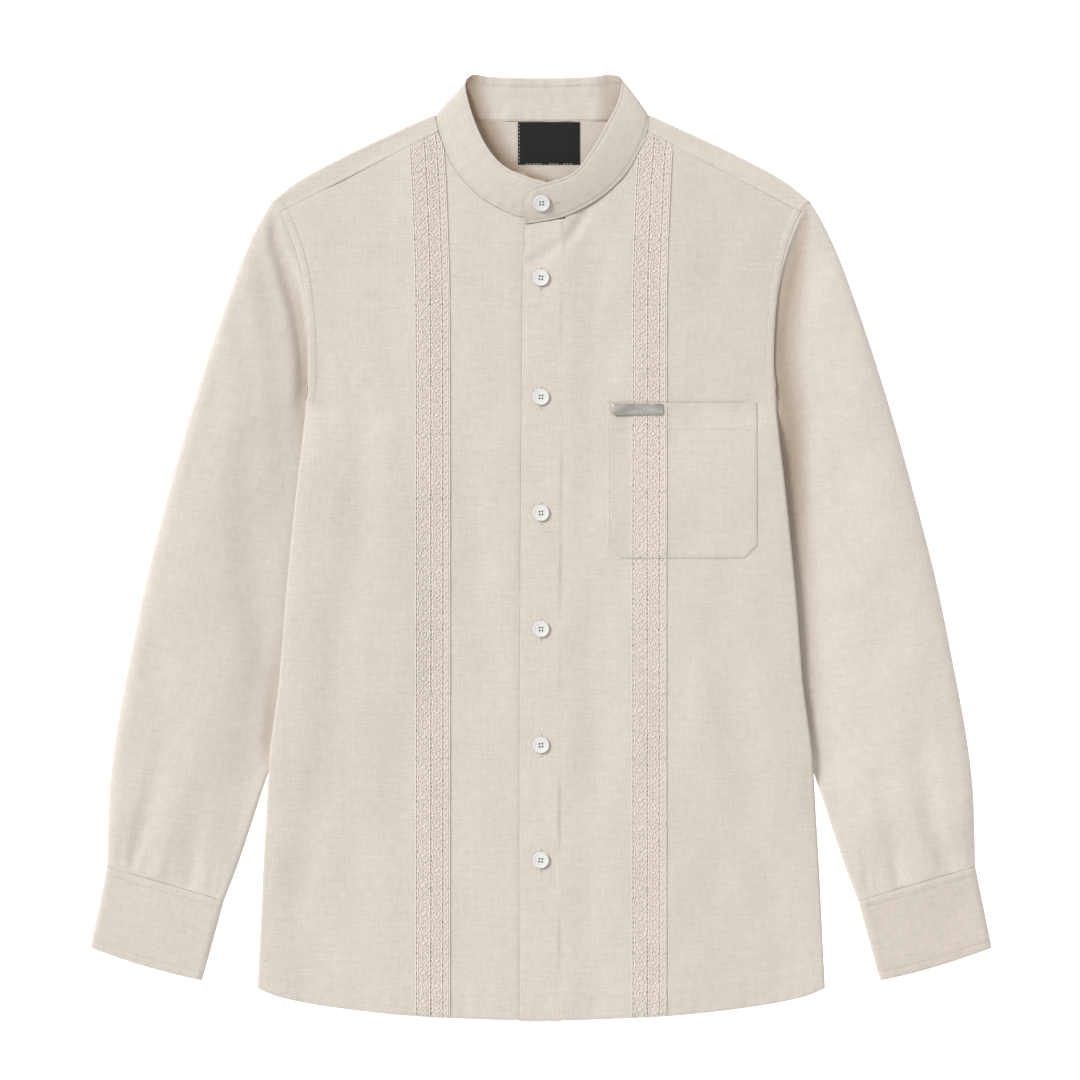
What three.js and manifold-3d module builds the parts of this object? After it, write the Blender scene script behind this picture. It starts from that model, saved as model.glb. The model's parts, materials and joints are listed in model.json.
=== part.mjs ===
// A long-sleeved koko shirt with a band collar, laid flat on its back panel with its front up.
// Millimetres. X runs across the shirt, Y from hem to neck, Z up from the surface it lies on.
// Tables for one half are written for the +X half; side is +1 for that half and -1 for the other.
import * as THREE from "three";
import Module from "manifold-3d";

// ---- driving sizes ----
const CLOTH = 1.2; // wall of a single cloth panel
const BAND = 1.6; // wall of the interlined collar and cuffs
const LACE = 1.0; // wall of a lace trim
const SEAM = 0.3; // gap between neighbouring pieces
const BODY_THICK = 5.0; // height of the folded body, back and front panel together
const SLEEVE_THICK = 6.0; // height of a sleeve beside the body
const TUCK_THICK = 3.0; // height of the part of a sleeve that lies under the body
const TUCK_CLEAR = 0.9; // free height between that part and the back panel
const SIDE_ROUND = BODY_THICK / 2; // radius of the rolled side edges
const UNDERARM_Y = 125.4;
const HEM_HALF = 241.4;
const BACK_HEM_RISE = 1.5; // the back hem lies this much above the front hem
const BACK_YOKE_Y = 279; // straight seam between yoke and back panel
const UNDER_EDGE = 15; // free edge of the front that lies under, beyond the centre line
const UNDER_DROP = 1.5; // the front that lies over is this much higher beside the placket
const UNDER_DROP_WIDTH = 26;
const TRIM_HALF = 14.8;
const POCKET = { left: 56.5, right: 183.4, top: 123.7, bottom: -9.2, chamfer: 11 };
const TAB = { left: 60.4, right: 104.1, bottom: 112.6, top: 122.0, thick: 1.0 };
const LABEL = { left: -19.6, right: 33.1, bottom: 326.0, top: 362.2, thick: 0.6 };
const BUTTON = { radius: 7, thick: 2.3, dish: 0.7, hole: 0.8, holeAt: 1.7 };
const GROUP_SHIFT = { x: 0, y: -0.1, z: 0 }; // puts the middle of the underside at the origin

// ---- tables ----
// Outer boundary of the body: half width of the side edge at each height.
const SIDE = [
  // y, x
  [-374.4, 241.4],
  [-325, 239],
  [-283, 237],
  [-240, 234.5],
  [-198, 232],
  [-170, 230],
  [-138, 226],
  [-112, 222.5],
  [-87, 220.5],
  [-36, 216.5],
  [15, 211.5],
  [66, 206],
  [91, 203],
  [125.4, 199.8],
];
// Armhole seam from the underarm to the shoulder tip.
const ARMHOLE = [
  // y, x
  [125.4, 199.8],
  [146, 198.2],
  [168, 198],
  [192.5, 199],
  [215, 201],
  [237, 204.4],
  [262.5, 211.7],
  [285, 221.2],
  [295, 228.6],
];
const FRONT_HEM = [
  // x, y
  [-241.4, -374.4],
  [-225, -381.2],
  [-190.4, -388.9],
  [-121.5, -397.4],
  [-42.5, -401.5],
  [0, -401.7],
  [42.5, -401.5],
  [121.5, -397.4],
  [190.4, -388.9],
  [225, -381.2],
  [241.4, -374.4],
];
// Shoulder fold from the armhole to the neck, and the front yoke seam below it.
const SHOULDER = [
  [228.6, 295],
  [206, 312.4],
  [166.6, 333.8],
  [121, 355.2],
  [102.6, 363.6],
];
const YOKE_ARM = [221.2, 285.4]; // outer end of the front yoke seam
const YOKE_NECK = {
  // inner end of that seam, and of the shoulder fold above it, for each half
  right: { seam: [91.6, 353.4], fold: [93.5, 368.4] },
  left: { seam: [88.0, 353.4], fold: [91.9, 368.8] },
};
const neckOf = (side) => (side > 0 ? YOKE_NECK.right : YOKE_NECK.left);
const PLACKET_EDGE = [
  // y, x of the free edge
  [-402, -18.7],
  [-130, -18.7],
  [100, -17],
  [253, -15.7],
  [275, -14.4],
];
const PLACKET_SEAM = [
  // y, x of the seam between placket and front
  [-402, 17],
  [-130, 17.4],
  [100, 18.7],
  [253, 19.2],
  [281, 20.2],
];
const TRIM_CENTRE = [
  // y, x
  [-402, 92],
  [210, 92.4],
  [300, 95],
  [352, 98],
];
// The band collar as stations from the end that lies under, round the back of the neck, to the end
// that lies over. Each gives the seam edge and the free edge of the outer face.
const COLLAR = [
  // seam x, y, z, free edge x, y, z
  [14.4, 279.6, 5.0, 21.2, 306.4, 14],
  [-16.1, 280.9, 5.1, 0, 310.7, 14],
  [-34.9, 288.1, 5.2, -14.4, 315.3, 13.8],
  [-50.1, 297.1, 5.2, -28.1, 321.3, 13.4],
  [-62.9, 309, 5.2, -39.1, 330.6, 12.8],
  [-72.2, 320, 5.2, -47.6, 342.6, 12],
  [-79, 331.9, 5.2, -54.4, 356.6, 11],
  [-83.7, 344.7, 5.2, -59.5, 371, 9.6],
  [-87.5, 355.7, 5, -62.5, 382.1, 8],
  [-90.1, 362.5, 4.2, -64.1, 388.9, 6.2],
  [-91, 366.3, 2.8, -64.4, 394, 4.4],
  [-88.8, 367.5, 1.5, -63.5, 398.2, 2.6],
  [-83.3, 365.9, 0.4, -60.8, 401.6, 1],
  [-73.1, 364.4, 0, -56.1, 402.8, 0.2],
  [-56.9, 363.4, 0, -46.8, 401.5, 0],
  [-30.6, 363.1, 0, -28.1, 400.3, 0],
  [0, 362.9, 0, 0, 399.9, 0],
  [30.6, 363.1, 0, 28.1, 400.3, 0],
  [56.9, 363.4, 0, 46.8, 401.5, 0],
  [73.1, 364.4, 0, 56.1, 402.8, 0.2],
  [85, 365.9, 0.4, 61.6, 402.5, 1],
  [90.5, 367.5, 1.5, 66.7, 401.2, 2.6],
  [92.6, 366.3, 2.8, 68.8, 397.4, 4.4],
  [92.4, 362.5, 4.2, 68.3, 391.4, 6.2],
  [91, 354.9, 5.1, 66.5, 382.9, 8],
  [87.5, 344.7, 5.3, 62.9, 373.1, 9.7],
  [80.8, 331.1, 5.6, 55.7, 360, 11.3],
  [74.8, 320.9, 5.9, 48.4, 346.4, 12.6],
  [66.3, 310.7, 6.3, 39.9, 332.8, 13.7],
  [55.2, 300.5, 6.7, 31.4, 321.3, 14.8],
  [39.9, 290.3, 7, 21.2, 314.1, 15.6],
  [19.6, 280.9, 7.1, 9.3, 310.2, 16.2],
  [0, 276.7, 7.1, -0.8, 307.3, 16.4],
  [-7.6, 275.6, 7.1, -8.5, 303, 16],
  [-13.6, 275, 7.1, -14.4, 292.8, 13],
];
const COLLAR_BULGE = 1.0; // the band bows out this much between its two edges
// Sleeve sections from armhole to cuff: outer fold, inner fold and how far each follows the armhole.
const SLEEVE = [
  // outer x, y, inner x, y, share of the armhole curve, sag towards the cuff
  [228.6, 295, 199.8, 125.4, 1, 0],
  [240.4, 275, 202.0, 112, 0.85, 0],
  [252.5, 248.6, 204.8, 97, 0.6, 2],
  [268.2, 206.1, 185, 76, 0.2, 20],
  [282.6, 163.6, 169, 48, 0.1, 13],
  [302.2, 99.9, 163.5, 5, 0, 6],
  [319.6, 36.1, 171, -38, 0, 2],
  [335.8, -27.6, 186, -84, 0, 0],
  [348.9, -91.4, 203, -124, 0, 0],
  [360.8, -155.1, 219, -160, 0, 0],
  [366.6, -200, 232.8, -194, 0, 0],
  [368.4, -235, 246.6, -236, 0, 0],
  [369.1, -256, 258, -270, 0, 0],
  [369.5, -271.4, 269.7, -300.6, 0, 0],
];
const CUFF = [
  // outer x, y, inner x, y
  [369.6, -271.8, 269.9, -301],
  [376.2, -304.5, 278.8, -334],
  [383.4, -340, 288.3, -368],
];
// Inner edge of the sleeve under the body; above the underarm it only fades the lift out.
const TUCK_EDGE = [
  // y, x
  [-300, 300],
  [-236, 246.6],
  [-194, 232.4],
  [-160, 219],
  [-124, 203],
  [-84, 186],
  [-38, 171],
  [5, 163.5],
  [48, 169],
  [76, 185],
  [104, 210],
  [126, 241],
  [150, 248],
];
const TUCK_MARGIN = 15; // the back panel is clear of the tucked sleeve this far inside its edge
const LIFT_RAMP = 26;
// Largest folds: a soft trough (negative) or ridge along a line, with its half width.
const FRONT_FOLDS = [
  // side, x1, y1, x2, y2, half width, height
  [-1, 149, 120, 163, -44, 24, -1.0],
  [-1, 163, -44, 188, -215, 24, -1.3],
  [-1, 188, -215, 206, -300, 20, -1.0],
  [1, 158, -60, 176, -220, 26, -0.8],
  [1, 176, -220, 196, -320, 22, -0.7],
];
const SLEEVE_FOLDS = [
  // side, x1, y1, x2, y2, half width, height
  [-1, 232, 272, 215, 170, 14, -1.6],
  [-1, 249, 80, 262, -80, 20, -1.4],
  [-1, 343, -262, 324, -180, 10, -1.5],
  [-1, 297, -276, 290, -190, 12, -1.3],
  [1, 226, 272, 208, 165, 14, -1.6],
  [1, 262, 60, 280, -90, 20, -1.2],
  [1, 347, -268, 322, -170, 12, -1.6],
  [1, 300, -280, 290, -200, 11, -1.1],
];

// ---- small maths ----
const clamp = (v, lo, hi) => Math.min(hi, Math.max(lo, v));
const lerp = (a, b, t) => a + (b - a) * t;
const smooth = (t) => {
  const c = clamp(t, 0, 1);
  return c * c * (3 - 2 * c);
};

// Value of a table [key, value] at a key, as a smooth cubic through its rows.
function read(table, key) {
  const last = table.length - 1;
  if (key <= table[0][0]) return table[0][1];
  if (key >= table[last][0]) return table[last][1];
  let k = 0;
  while (table[k + 1][0] < key) k += 1;
  const slope = (i) => {
    const a = table[Math.max(0, i - 1)];
    const b = table[Math.min(last, i + 1)];
    return (b[1] - a[1]) / (b[0] - a[0]);
  };
  const h = table[k + 1][0] - table[k][0];
  const t = (key - table[k][0]) / h;
  const a = table[k][1];
  const b = table[k + 1][1];
  const t2 = t * t;
  const t3 = t2 * t;
  return (
    a * (2 * t3 - 3 * t2 + 1) +
    slope(k) * h * (t3 - 2 * t2 + t) +
    b * (3 * t2 - 2 * t3) +
    slope(k + 1) * h * (t3 - t2)
  );
}

// Point at a share of the length of a polyline.
function along(points, share) {
  const steps = points.slice(1).map((p, i) => Math.hypot(...p.map((v, k) => v - points[i][k])));
  let left = share * steps.reduce((a, b) => a + b, 0);
  for (let i = 0; i < steps.length; i += 1) {
    if (left <= steps[i] || i === steps.length - 1) {
      const t = clamp(left / steps[i], 0, 1);
      return points[i].map((v, k) => lerp(v, points[i + 1][k], t));
    }
    left -= steps[i];
  }
  return points[0];
}

// Height that the folds of a table add at a point of one half.
function foldsAt(table, side, x, y) {
  let z = 0;
  for (const [foldSide, x1, y1, x2, y2, half, height] of table) {
    if (foldSide !== side) continue;
    const dx = x2 - x1;
    const dy = y2 - y1;
    const t = ((x - x1) * dx + (y - y1) * dy) / (dx * dx + dy * dy);
    const inside = clamp(t, 0, 1);
    const reach = Math.hypot(x - x1 - inside * dx, y - y1 - inside * dy) / half;
    if (reach < 1) z += (height * (1 + Math.cos(Math.PI * reach))) / 2;
  }
  return z;
}

const edgeX = (y) => (y < UNDERARM_Y ? read(SIDE, y) : read(ARMHOLE, y));

// Height of the back panel's underside: it rides over the sleeve that is tucked under the side.
function liftAt(x, y) {
  const start = read(TUCK_EDGE, y) - TUCK_MARGIN - LIFT_RAMP;
  return (TUCK_THICK + TUCK_CLEAR) * smooth((Math.abs(x) - start) / LIFT_RAMP);
}

// ---- closed solids from open or looped faces ----
// Each grid is rows of points on the face that points away from the wearer. Grids are welded where
// they touch, a second face is set in by the wall, and the free edges are closed.
function shell(grids, wall, side = 1, extra = []) {
  const points = [];
  const index = new Map();
  const faces = [];
  const idOf = (p) => {
    const key = p.map((v) => Math.round(v * 1000)).join(",");
    if (!index.has(key)) {
      index.set(key, points.length);
      points.push([...p]);
    }
    return index.get(key);
  };
  const add = (a, b, c) => {
    if (a === b || b === c || a === c) return;
    faces.push(side > 0 ? [a, b, c] : [a, c, b]);
  };
  for (const grid of grids) {
    for (let i = 0; i + 1 < grid.length; i += 1) {
      for (let j = 0; j + 1 < grid[i].length; j += 1) {
        const a = idOf(grid[i][j]);
        const b = idOf(grid[i][j + 1]);
        const c = idOf(grid[i + 1][j + 1]);
        const d = idOf(grid[i + 1][j]);
        add(a, b, c);
        add(a, c, d);
      }
    }
  }
  for (const [p, q, r] of extra) add(idOf(p), idOf(q), idOf(r));
  const normals = normalsOf(points, faces);
  const count = points.length;
  const all = points.concat(points.map((p, i) => p.map((v, k) => v - wall * normals[i][k])));
  const triangles = [];
  const edges = new Map();
  for (const [a, b, c] of faces) {
    triangles.push(a, b, c, a + count, c + count, b + count);
    for (const [s, e] of [[a, b], [b, c], [c, a]]) edges.set(s + ":" + e, [s, e]);
  }
  for (const [s, e] of edges.values()) {
    if (edges.has(e + ":" + s)) continue;
    triangles.push(s, s + count, e + count, s, e + count, e);
  }
  const geometry = new THREE.BufferGeometry();
  geometry.setAttribute("position", new THREE.Float32BufferAttribute(all.flat(), 3));
  geometry.setIndex(triangles);
  return geometry;
}

function normalsOf(points, faces) {
  const sums = points.map(() => [0, 0, 0]);
  for (const face of faces) {
    const [p, q, r] = face.map((i) => points[i]);
    const u = q.map((v, k) => v - p[k]);
    const w = r.map((v, k) => v - p[k]);
    const n = [u[1] * w[2] - u[2] * w[1], u[2] * w[0] - u[0] * w[2], u[0] * w[1] - u[1] * w[0]];
    for (const i of face) n.forEach((v, k) => (sums[i][k] += v));
  }
  return sums.map((n) => {
    const length = Math.hypot(...n) || 1;
    return n.map((v) => v / length);
  });
}

// The same grid moved out along its own normals.
function movedOut(grid, side, by) {
  const cols = grid[0].length;
  const points = grid.flat();
  const faces = [];
  for (let i = 0; i + 1 < grid.length; i += 1) {
    for (let j = 0; j + 1 < cols; j += 1) {
      const a = i * cols + j;
      const quads = [[a, a + 1, a + cols + 1], [a, a + cols + 1, a + cols]];
      for (const [p, q, r] of quads) faces.push(side > 0 ? [p, q, r] : [p, r, q]);
    }
  }
  const normals = normalsOf(points, faces);
  return grid.map((row, i) =>
    row.map((p, j) => {
      const d = typeof by === "function" ? by(i, j) : by;
      return p.map((v, k) => v + d * normals[i * cols + j][k]);
    }),
  );
}

// ---- fronts ----
// Outline of the collar seam seen from above, moved out by the seam gap, from centre to yoke seam.
function neckLine(side) {
  const half = side > 0 ? COLLAR.slice(24).reverse() : COLLAR.slice(0, 9);
  const line = half.map(([x, y]) => [x * side, y]);
  return line.map(([x, y], i) => {
    const a = line[Math.max(0, i - 1)];
    const b = line[Math.min(line.length - 1, i + 1)];
    const length = Math.hypot(b[0] - a[0], b[1] - a[1]);
    return [x + ((b[1] - a[1]) / length) * 0.5, y - ((b[0] - a[0]) / length) * 0.5];
  });
}

const ROLL_DROP = [0, 0.134, 0.5, 0.72]; // how far a rolled edge has turned down, as shares of its radius
const FLAT_ROWS = [
  -352, -318, -270, -215, -160, -105, -55, POCKET.bottom, POCKET.bottom + POCKET.chamfer,
  40, 66, 86, 104, POCKET.top, 142, 160, 180, 200, 218, 236,
];

function frontHeight(side, x, y) {
  const step = side > 0 ? UNDER_DROP * (1 - smooth((x - 20) / UNDER_DROP_WIDTH)) : 0;
  return BODY_THICK + liftAt(x, y) + step + foldsAt(FRONT_FOLDS, side, x, y);
}

// Rows of points of one front, from hem to yoke seam and from the centre to the side.
function frontGrid(side) {
  const neck = neckLine(side).filter(([x]) => side < 0 || x >= 21);
  if (side > 0) neck.unshift([read(PLACKET_SEAM, 281) + SEAM, 280.4]);
  // The top edge runs just below the front yoke seam.
  const seamNeck = neckOf(side).seam;
  const tilt = Math.hypot(YOKE_ARM[0] - seamNeck[0], YOKE_ARM[1] - seamNeck[1]);
  const down = [
    ((YOKE_ARM[1] - seamNeck[1]) / tilt) * (SEAM + 0.1),
    (-(YOKE_ARM[0] - seamNeck[0]) / tilt) * (SEAM + 0.1),
  ];
  const neckTop = [seamNeck[0] + down[0], seamNeck[1] + down[1]];
  const neckPart = neck.filter((p) => p[1] < neckTop[1] - 3).concat([neckTop]);
  const armTop = [YOKE_ARM[0] + down[0] - 0.3, YOKE_ARM[1] + down[1]];
  const inner = (y) => (side > 0 ? read(PLACKET_SEAM, y) + SEAM : -UNDER_EDGE);
  const result = [];
  const columnsOf = (y, x0, x1, round) => {
    const centre = read(TRIM_CENTRE, y);
    const ti = Math.max(centre - TRIM_HALF, x0 + 1.2);
    const to = Math.max(centre + TRIM_HALF, ti + 6);
    const q = clamp(POCKET.left, lerp(x0, ti, 0.4), lerp(x0, ti, 0.75));
    const list = [x0, lerp(x0, q, 0.5), q, ti, Math.max(ti + 3, (ti + to) / 2), to];
    const near = lerp(to, x1, 0.2);
    const bend = SIDE_ROUND;
    const flat = [4.6, 3.2, 1.6, 0];
    const rolled = [bend, bend * 0.5, bend * 0.134, 0];
    const ends = flat.map((s, k) => lerp(s, rolled[k], round));
    const last = clamp(POCKET.right, x1 - 31, x1 - 9);
    list.push(near, lerp(to, last, 0.5), lerp(to, last, 0.78), last);
    for (const s of ends) list.push(x1 - s);
    return list;
  };
  const drop = (k, round) => SIDE_ROUND * round * ROLL_DROP[k];
  const place = (x, y, k, round) => {
    const z = frontHeight(side, x, y) - (k >= 0 ? drop(k, round) : 0);
    return [side * x, y, z];
  };
  // The hem row follows the hem; the next rows are level; the last ones fan round to the yoke seam.
  const roundAt = (y) => smooth((UNDERARM_Y + 22 - y) / 34);
  const level = [null, ...FLAT_ROWS];
  level.forEach((y) => {
    const x0 = inner(y === null ? -402 : y);
    const x1 = y === null ? HEM_HALF : edgeX(y);
    const round = roundAt(y === null ? -400 : y);
    const xs = columnsOf(y === null ? -402 : y, x0, x1, round);
    const count = xs.length;
    result.push(
      xs.map((x, j) => {
        const yy = y === null ? read(FRONT_HEM, x) : y;
        return place(x, yy, j - (count - 4), round);
      }),
    );
  });
  const armPart = [236, 246, 256, 266, 276].map((y) => [edgeX(y), y]).concat([armTop]);
  for (let k = 0; k < neckPart.length; k += 1) {
    const a = neckPart[k];
    const b = along(armPart, (k + 1) / neckPart.length);
    const xs = columnsOf(lerp(a[1], b[1], 0.2), a[0], b[0], 0);
    result.push(
      xs.map((x, j) => {
        const t = (x - a[0]) / (b[0] - a[0]);
        return place(x, lerp(a[1], b[1], t), j - (xs.length - 4), 0);
      }),
    );
  }
  return result;
}

// ---- placket ----
function placketGrid() {
  const rows = [];
  const ys = [null, ...FLAT_ROWS, 256, 281];
  for (const y of ys) {
    const yy = y === null ? -402 : y;
    const a = read(PLACKET_EDGE, yy);
    const b = read(PLACKET_SEAM, yy);
    const top = BODY_THICK + UNDER_DROP;
    rows.push(
      [0, 0.34, 0.67, 1].map((t) => {
        const x = lerp(a, b, t);
        let row = y === null ? read(FRONT_HEM, x) - 0.8 : y;
        if (y === 281) row = lerp(274.0, 279.6, t);
        return [x, row, top];
      }),
    );
  }
  return rows;
}

// ---- back and yoke ----
function backGrid() {
  const rows = [];
  const ys = [null, ...FLAT_ROWS, 258, BACK_YOKE_Y - SEAM];
  for (const y of ys) {
    const yy = y === null ? -400 : y;
    const x1 = y === null ? HEM_HALF : edgeX(y);
    const round = smooth((UNDERARM_Y + 22 - yy) / 34);
    const flat = [4.6, 3.2, 1.6, 0];
    const rolled = [SIDE_ROUND, SIDE_ROUND * 0.5, SIDE_ROUND * 0.134, 0];
    const ends = flat.map((s, k) => x1 - lerp(s, rolled[k], round));
    const half = [0, 0.4, 0.66, 0.78, 0.87].map((t) => t * x1).concat(ends);
    const xs = half.slice(1).map((x) => -x).reverse().concat(half);
    rows.push(
      xs.map((x, j) => {
        const k = Math.min(j, xs.length - 1 - j);
        const up = k < 4 ? SIDE_ROUND * round * ROLL_DROP[3 - k] : 0;
        const row = y === null ? read(FRONT_HEM, x) + BACK_HEM_RISE : y;
        return [x, row, liftAt(x, row) + up];
      }),
    );
  }
  return rows;
}

const FOLD_TURNS = [90, 60, 30, 0, -30, -60, -90].map((d) => (d * Math.PI) / 180);

// Half of the yoke: from the front seam over the shoulder fold and down to the back seam.
function yokeSide(side) {
  const columns = [];
  const r = SIDE_ROUND;
  const backSeamX = read(ARMHOLE, BACK_YOKE_Y);
  for (const t of [0, 0.22, 0.45, 0.68, 0.86, 1]) {
    const neck = neckOf(side);
    const seam = [0, 1].map((k) => lerp(YOKE_ARM[k], neck.seam[k], t));
    const fold = along([...SHOULDER, neck.fold], t);
    const back = [lerp(backSeamX, 78, t), BACK_YOKE_Y];
    const dx = fold[0] - seam[0];
    const dy = fold[1] - seam[1];
    const length = Math.hypot(dx, dy);
    const inDir = [-dx / length, -dy / length];
    const path = [];
    for (const s of [0, 0.5]) {
      path.push([lerp(seam[0], fold[0] + inDir[0] * r, s), lerp(seam[1], fold[1] + inDir[1] * r, s), 2 * r]);
    }
    for (const a of FOLD_TURNS) {
      const d = r * (1 - Math.cos(a));
      path.push([fold[0] + inDir[0] * d, fold[1] + inDir[1] * d, r + r * Math.sin(a)]);
    }
    const end = path[path.length - 1];
    for (const s of [0.3, 0.65, 1]) {
      let x = lerp(end[0], back[0], s);
      const y = lerp(end[1], back[1], s);
      if (t === 0) x = edgeX(y);
      path.push([x, y, 0]);
    }
    columns.push(path);
  }
  return columns.map((path) => path.map(([x, y, z]) => [side * x, y, z]));
}

function yokeGrids() {
  const right = yokeSide(1);
  const left = yokeSide(-1);
  const rows = [8, 9, 10, 11];
  const from = right[right.length - 1];
  const to = left[left.length - 1];
  // Rows of the middle part run from one neck column to the other below the back neck seam.
  const seam = [
    [from[8][0], from[8][1]],
    [73.4, 363.7],
    [56.9, 362.7],
    [20, 362.3],
    [-20, 362.3],
    [-56.9, 362.7],
    [-73.4, 363.7],
    [to[8][0], to[8][1]],
  ];
  const middle = seam.map((p, k) => {
    if (k === 0) return rows.map((r) => from[r]);
    if (k === seam.length - 1) return rows.map((r) => to[r]);
    const t = k / (seam.length - 1);
    const backX = lerp(from[11][0], to[11][0], t);
    return [0, 0.3, 0.65, 1].map((s) => [lerp(p[0], backX, s), lerp(p[1], BACK_YOKE_Y, s), 0]);
  });
  return [right, middle, left.slice().reverse()];
}

// ---- collar ----
function collarGrid() {
  return COLLAR.map(([x1, y1, z1, x2, y2, z2], i) => {
    const a = COLLAR[Math.max(0, i - 1)];
    const b = COLLAR[Math.min(COLLAR.length - 1, i + 1)];
    const du = [b[0] + b[3] - a[0] - a[3], b[1] + b[4] - a[1] - a[4], b[2] + b[5] - a[2] - a[5]];
    const dv = [x2 - x1, y2 - y1, z2 - z1];
    const n = [dv[1] * du[2] - dv[2] * du[1], dv[2] * du[0] - dv[0] * du[2], dv[0] * du[1] - dv[1] * du[0]];
    const length = Math.hypot(...n) || 1;
    const lying = z1 + z2 < 2 ? 0 : smooth((z1 + z2 - 2) / 6);
    return [0, 0.33, 0.67, 1].map((t) => {
      const bow = COLLAR_BULGE * lying * 4 * t * (1 - t);
      return [
        lerp(x1, x2, t) + (n[0] / length) * bow,
        lerp(y1, y2, t) + (n[1] / length) * bow,
        lerp(z1, z2, t) + (n[2] / length) * bow,
      ];
    });
  });
}

// ---- sleeves and cuffs ----
function sleeveThickness(x, y) {
  const out = x - edgeX(y);
  const tucked = lerp(TUCK_THICK, SLEEVE_THICK, smooth((out - 8) / 20));
  const seamed = lerp(BODY_THICK, SLEEVE_THICK, smooth(out / 25));
  const free = smooth((-186 - y) / 30);
  const low = lerp(tucked, SLEEVE_THICK, free);
  return lerp(low, seamed, smooth((y - 109) / 28));
}

const RING_TOP = [0.12, 0.24, 0.36, 0.48, 0.6, 0.72, 0.84, 0.93];
const RING_BOTTOM = [0.9, 0.74, 0.5, 0.25, 0.1];

// One loop of a flattened tube: the upper face from outer to inner fold, then back underneath.
function flatLoop(side, pointAt, width, thick, extraAt) {
  const loop = [];
  const put = (share, turn) => {
    const [x, y] = pointAt(share);
    const h = thick(x, y) / 2;
    const fold = turn >= 1 ? extraAt(x, y) * smooth(Math.min(share, 1 - share) * 8) : 0;
    const z = Math.max(h + h * turn, 0) + fold;
    loop.push([side * x, y, z]);
  };
  const radiusAt = (share) => {
    const [x, y] = pointAt(share);
    return thick(x, y) / 2 / width;
  };
  const r0 = radiusAt(0);
  const r1 = radiusAt(1);
  put(0, 0);
  put(r0 * 0.2, 0.6);
  put(r0 * 1.1, 1);
  for (const s of RING_TOP) put(s, 1);
  put(1 - r1 * 1.1, 1);
  put(1 - r1 * 0.2, 0.6);
  put(1, 0);
  put(1 - r1 * 0.2, -0.6);
  put(1 - r1 * 1.1, -1);
  for (const s of RING_BOTTOM) put(s, -1);
  put(r0 * 1.1, -1);
  put(r0 * 0.2, -0.6);
  put(0, 0);
  return loop;
}

function sleeveGrid(side) {
  const arm = [];
  for (let k = 0; k <= 40; k += 1) {
    const y = lerp(295, UNDERARM_Y, k / 40);
    arm.push([read(ARMHOLE, y), y]);
  }
  const start = SLEEVE[0];
  return SLEEVE.map(([ox, oy, ix, iy, share, sag], row) => {
    const chordLength = Math.hypot(ox - ix, oy - iy);
    const pointAt = (t) => {
      const base = [lerp(ox, ix, t), lerp(oy, iy, t)];
      const chord = [lerp(start[0], start[2], t), lerp(start[1], start[3], t)];
      const curve = along(arm, t);
      const bow = (sag * 4 * t * (1 - t)) / chordLength;
      const x = base[0] + (curve[0] - chord[0]) * share + bow * (oy - iy);
      const y = base[1] + (curve[1] - chord[1]) * share - bow * (ox - ix);
      const tip = 0.4 * smooth(1 - t * 10);
      return row === 0 ? [x + SEAM + 0.1 + tip, y + tip * 0.5] : [x, y];
    };
    const width = Math.hypot(ox - ix, oy - iy);
    return flatLoop(side, pointAt, width, sleeveThickness, (x, y) => foldsAt(SLEEVE_FOLDS, side, x, y));
  });
}

function cuffGrid(side) {
  return CUFF.map(([ox, oy, ix, iy], row) => {
    const width = Math.hypot(ox - ix, oy - iy);
    const bow = row === 2 ? 2.2 : 0;
    const pointAt = (t) => [lerp(ox, ix, t), lerp(oy, iy, t) - bow * 4 * t * (1 - t)];
    return flatLoop(side, pointAt, width, () => SLEEVE_THICK, () => 0);
  });
}

// ---- trims, pocket, tab and label ----
const TRIM_COLUMNS = [3, 6];

function columnsFrom(grid, [from, to]) {
  return grid.map((row) => row.slice(from, to));
}

function pocketParts(front) {
  const first = 1 + FLAT_ROWS.indexOf(POCKET.bottom);
  const last = 1 + FLAT_ROWS.indexOf(POCKET.top);
  const area = front.slice(first, last + 1).map((row) => row.slice(2, 10));
  const lace = SEAM + LACE;
  const outBy = (i, j) => (j >= 1 && j <= 3 ? lace + SEAM + CLOTH : SEAM + CLOTH);
  const face = movedOut(area, 1, outBy);
  const cols = face[0].length;
  // The lower corners are clipped: their cells are replaced by one triangle each.
  const clipped = [];
  const left = face[0][0];
  const right = face[0][cols - 1];
  const corner = POCKET.chamfer;
  const cutLeft = [left[0] + corner, left[1], lerp(left[2], face[0][1][2], 0.5)];
  const prev = face[0][cols - 2];
  const cutShare = (right[0] - corner - prev[0]) / (right[0] - prev[0]);
  const cutRight = prev.map((v, k) => lerp(v, right[k], cutShare));
  const low = [[cutLeft, ...face[0].slice(1, cols - 1), cutRight]];
  clipped.push(...low, ...face.slice(1));
  const trim = movedOut(face.map((row) => row.slice(1, 4)), 1, SEAM + LACE);
  return { face: clipped, trim };
}

function plate(x0, x1, y0, y1, z0, thick) {
  const geometry = new THREE.BoxGeometry(x1 - x0, y1 - y0, thick);
  geometry.translate((x0 + x1) / 2, (y0 + y1) / 2, z0 + thick / 2);
  return geometry;
}

// ---- buttons ----
const wasm = await Module();
wasm.setup();

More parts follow.
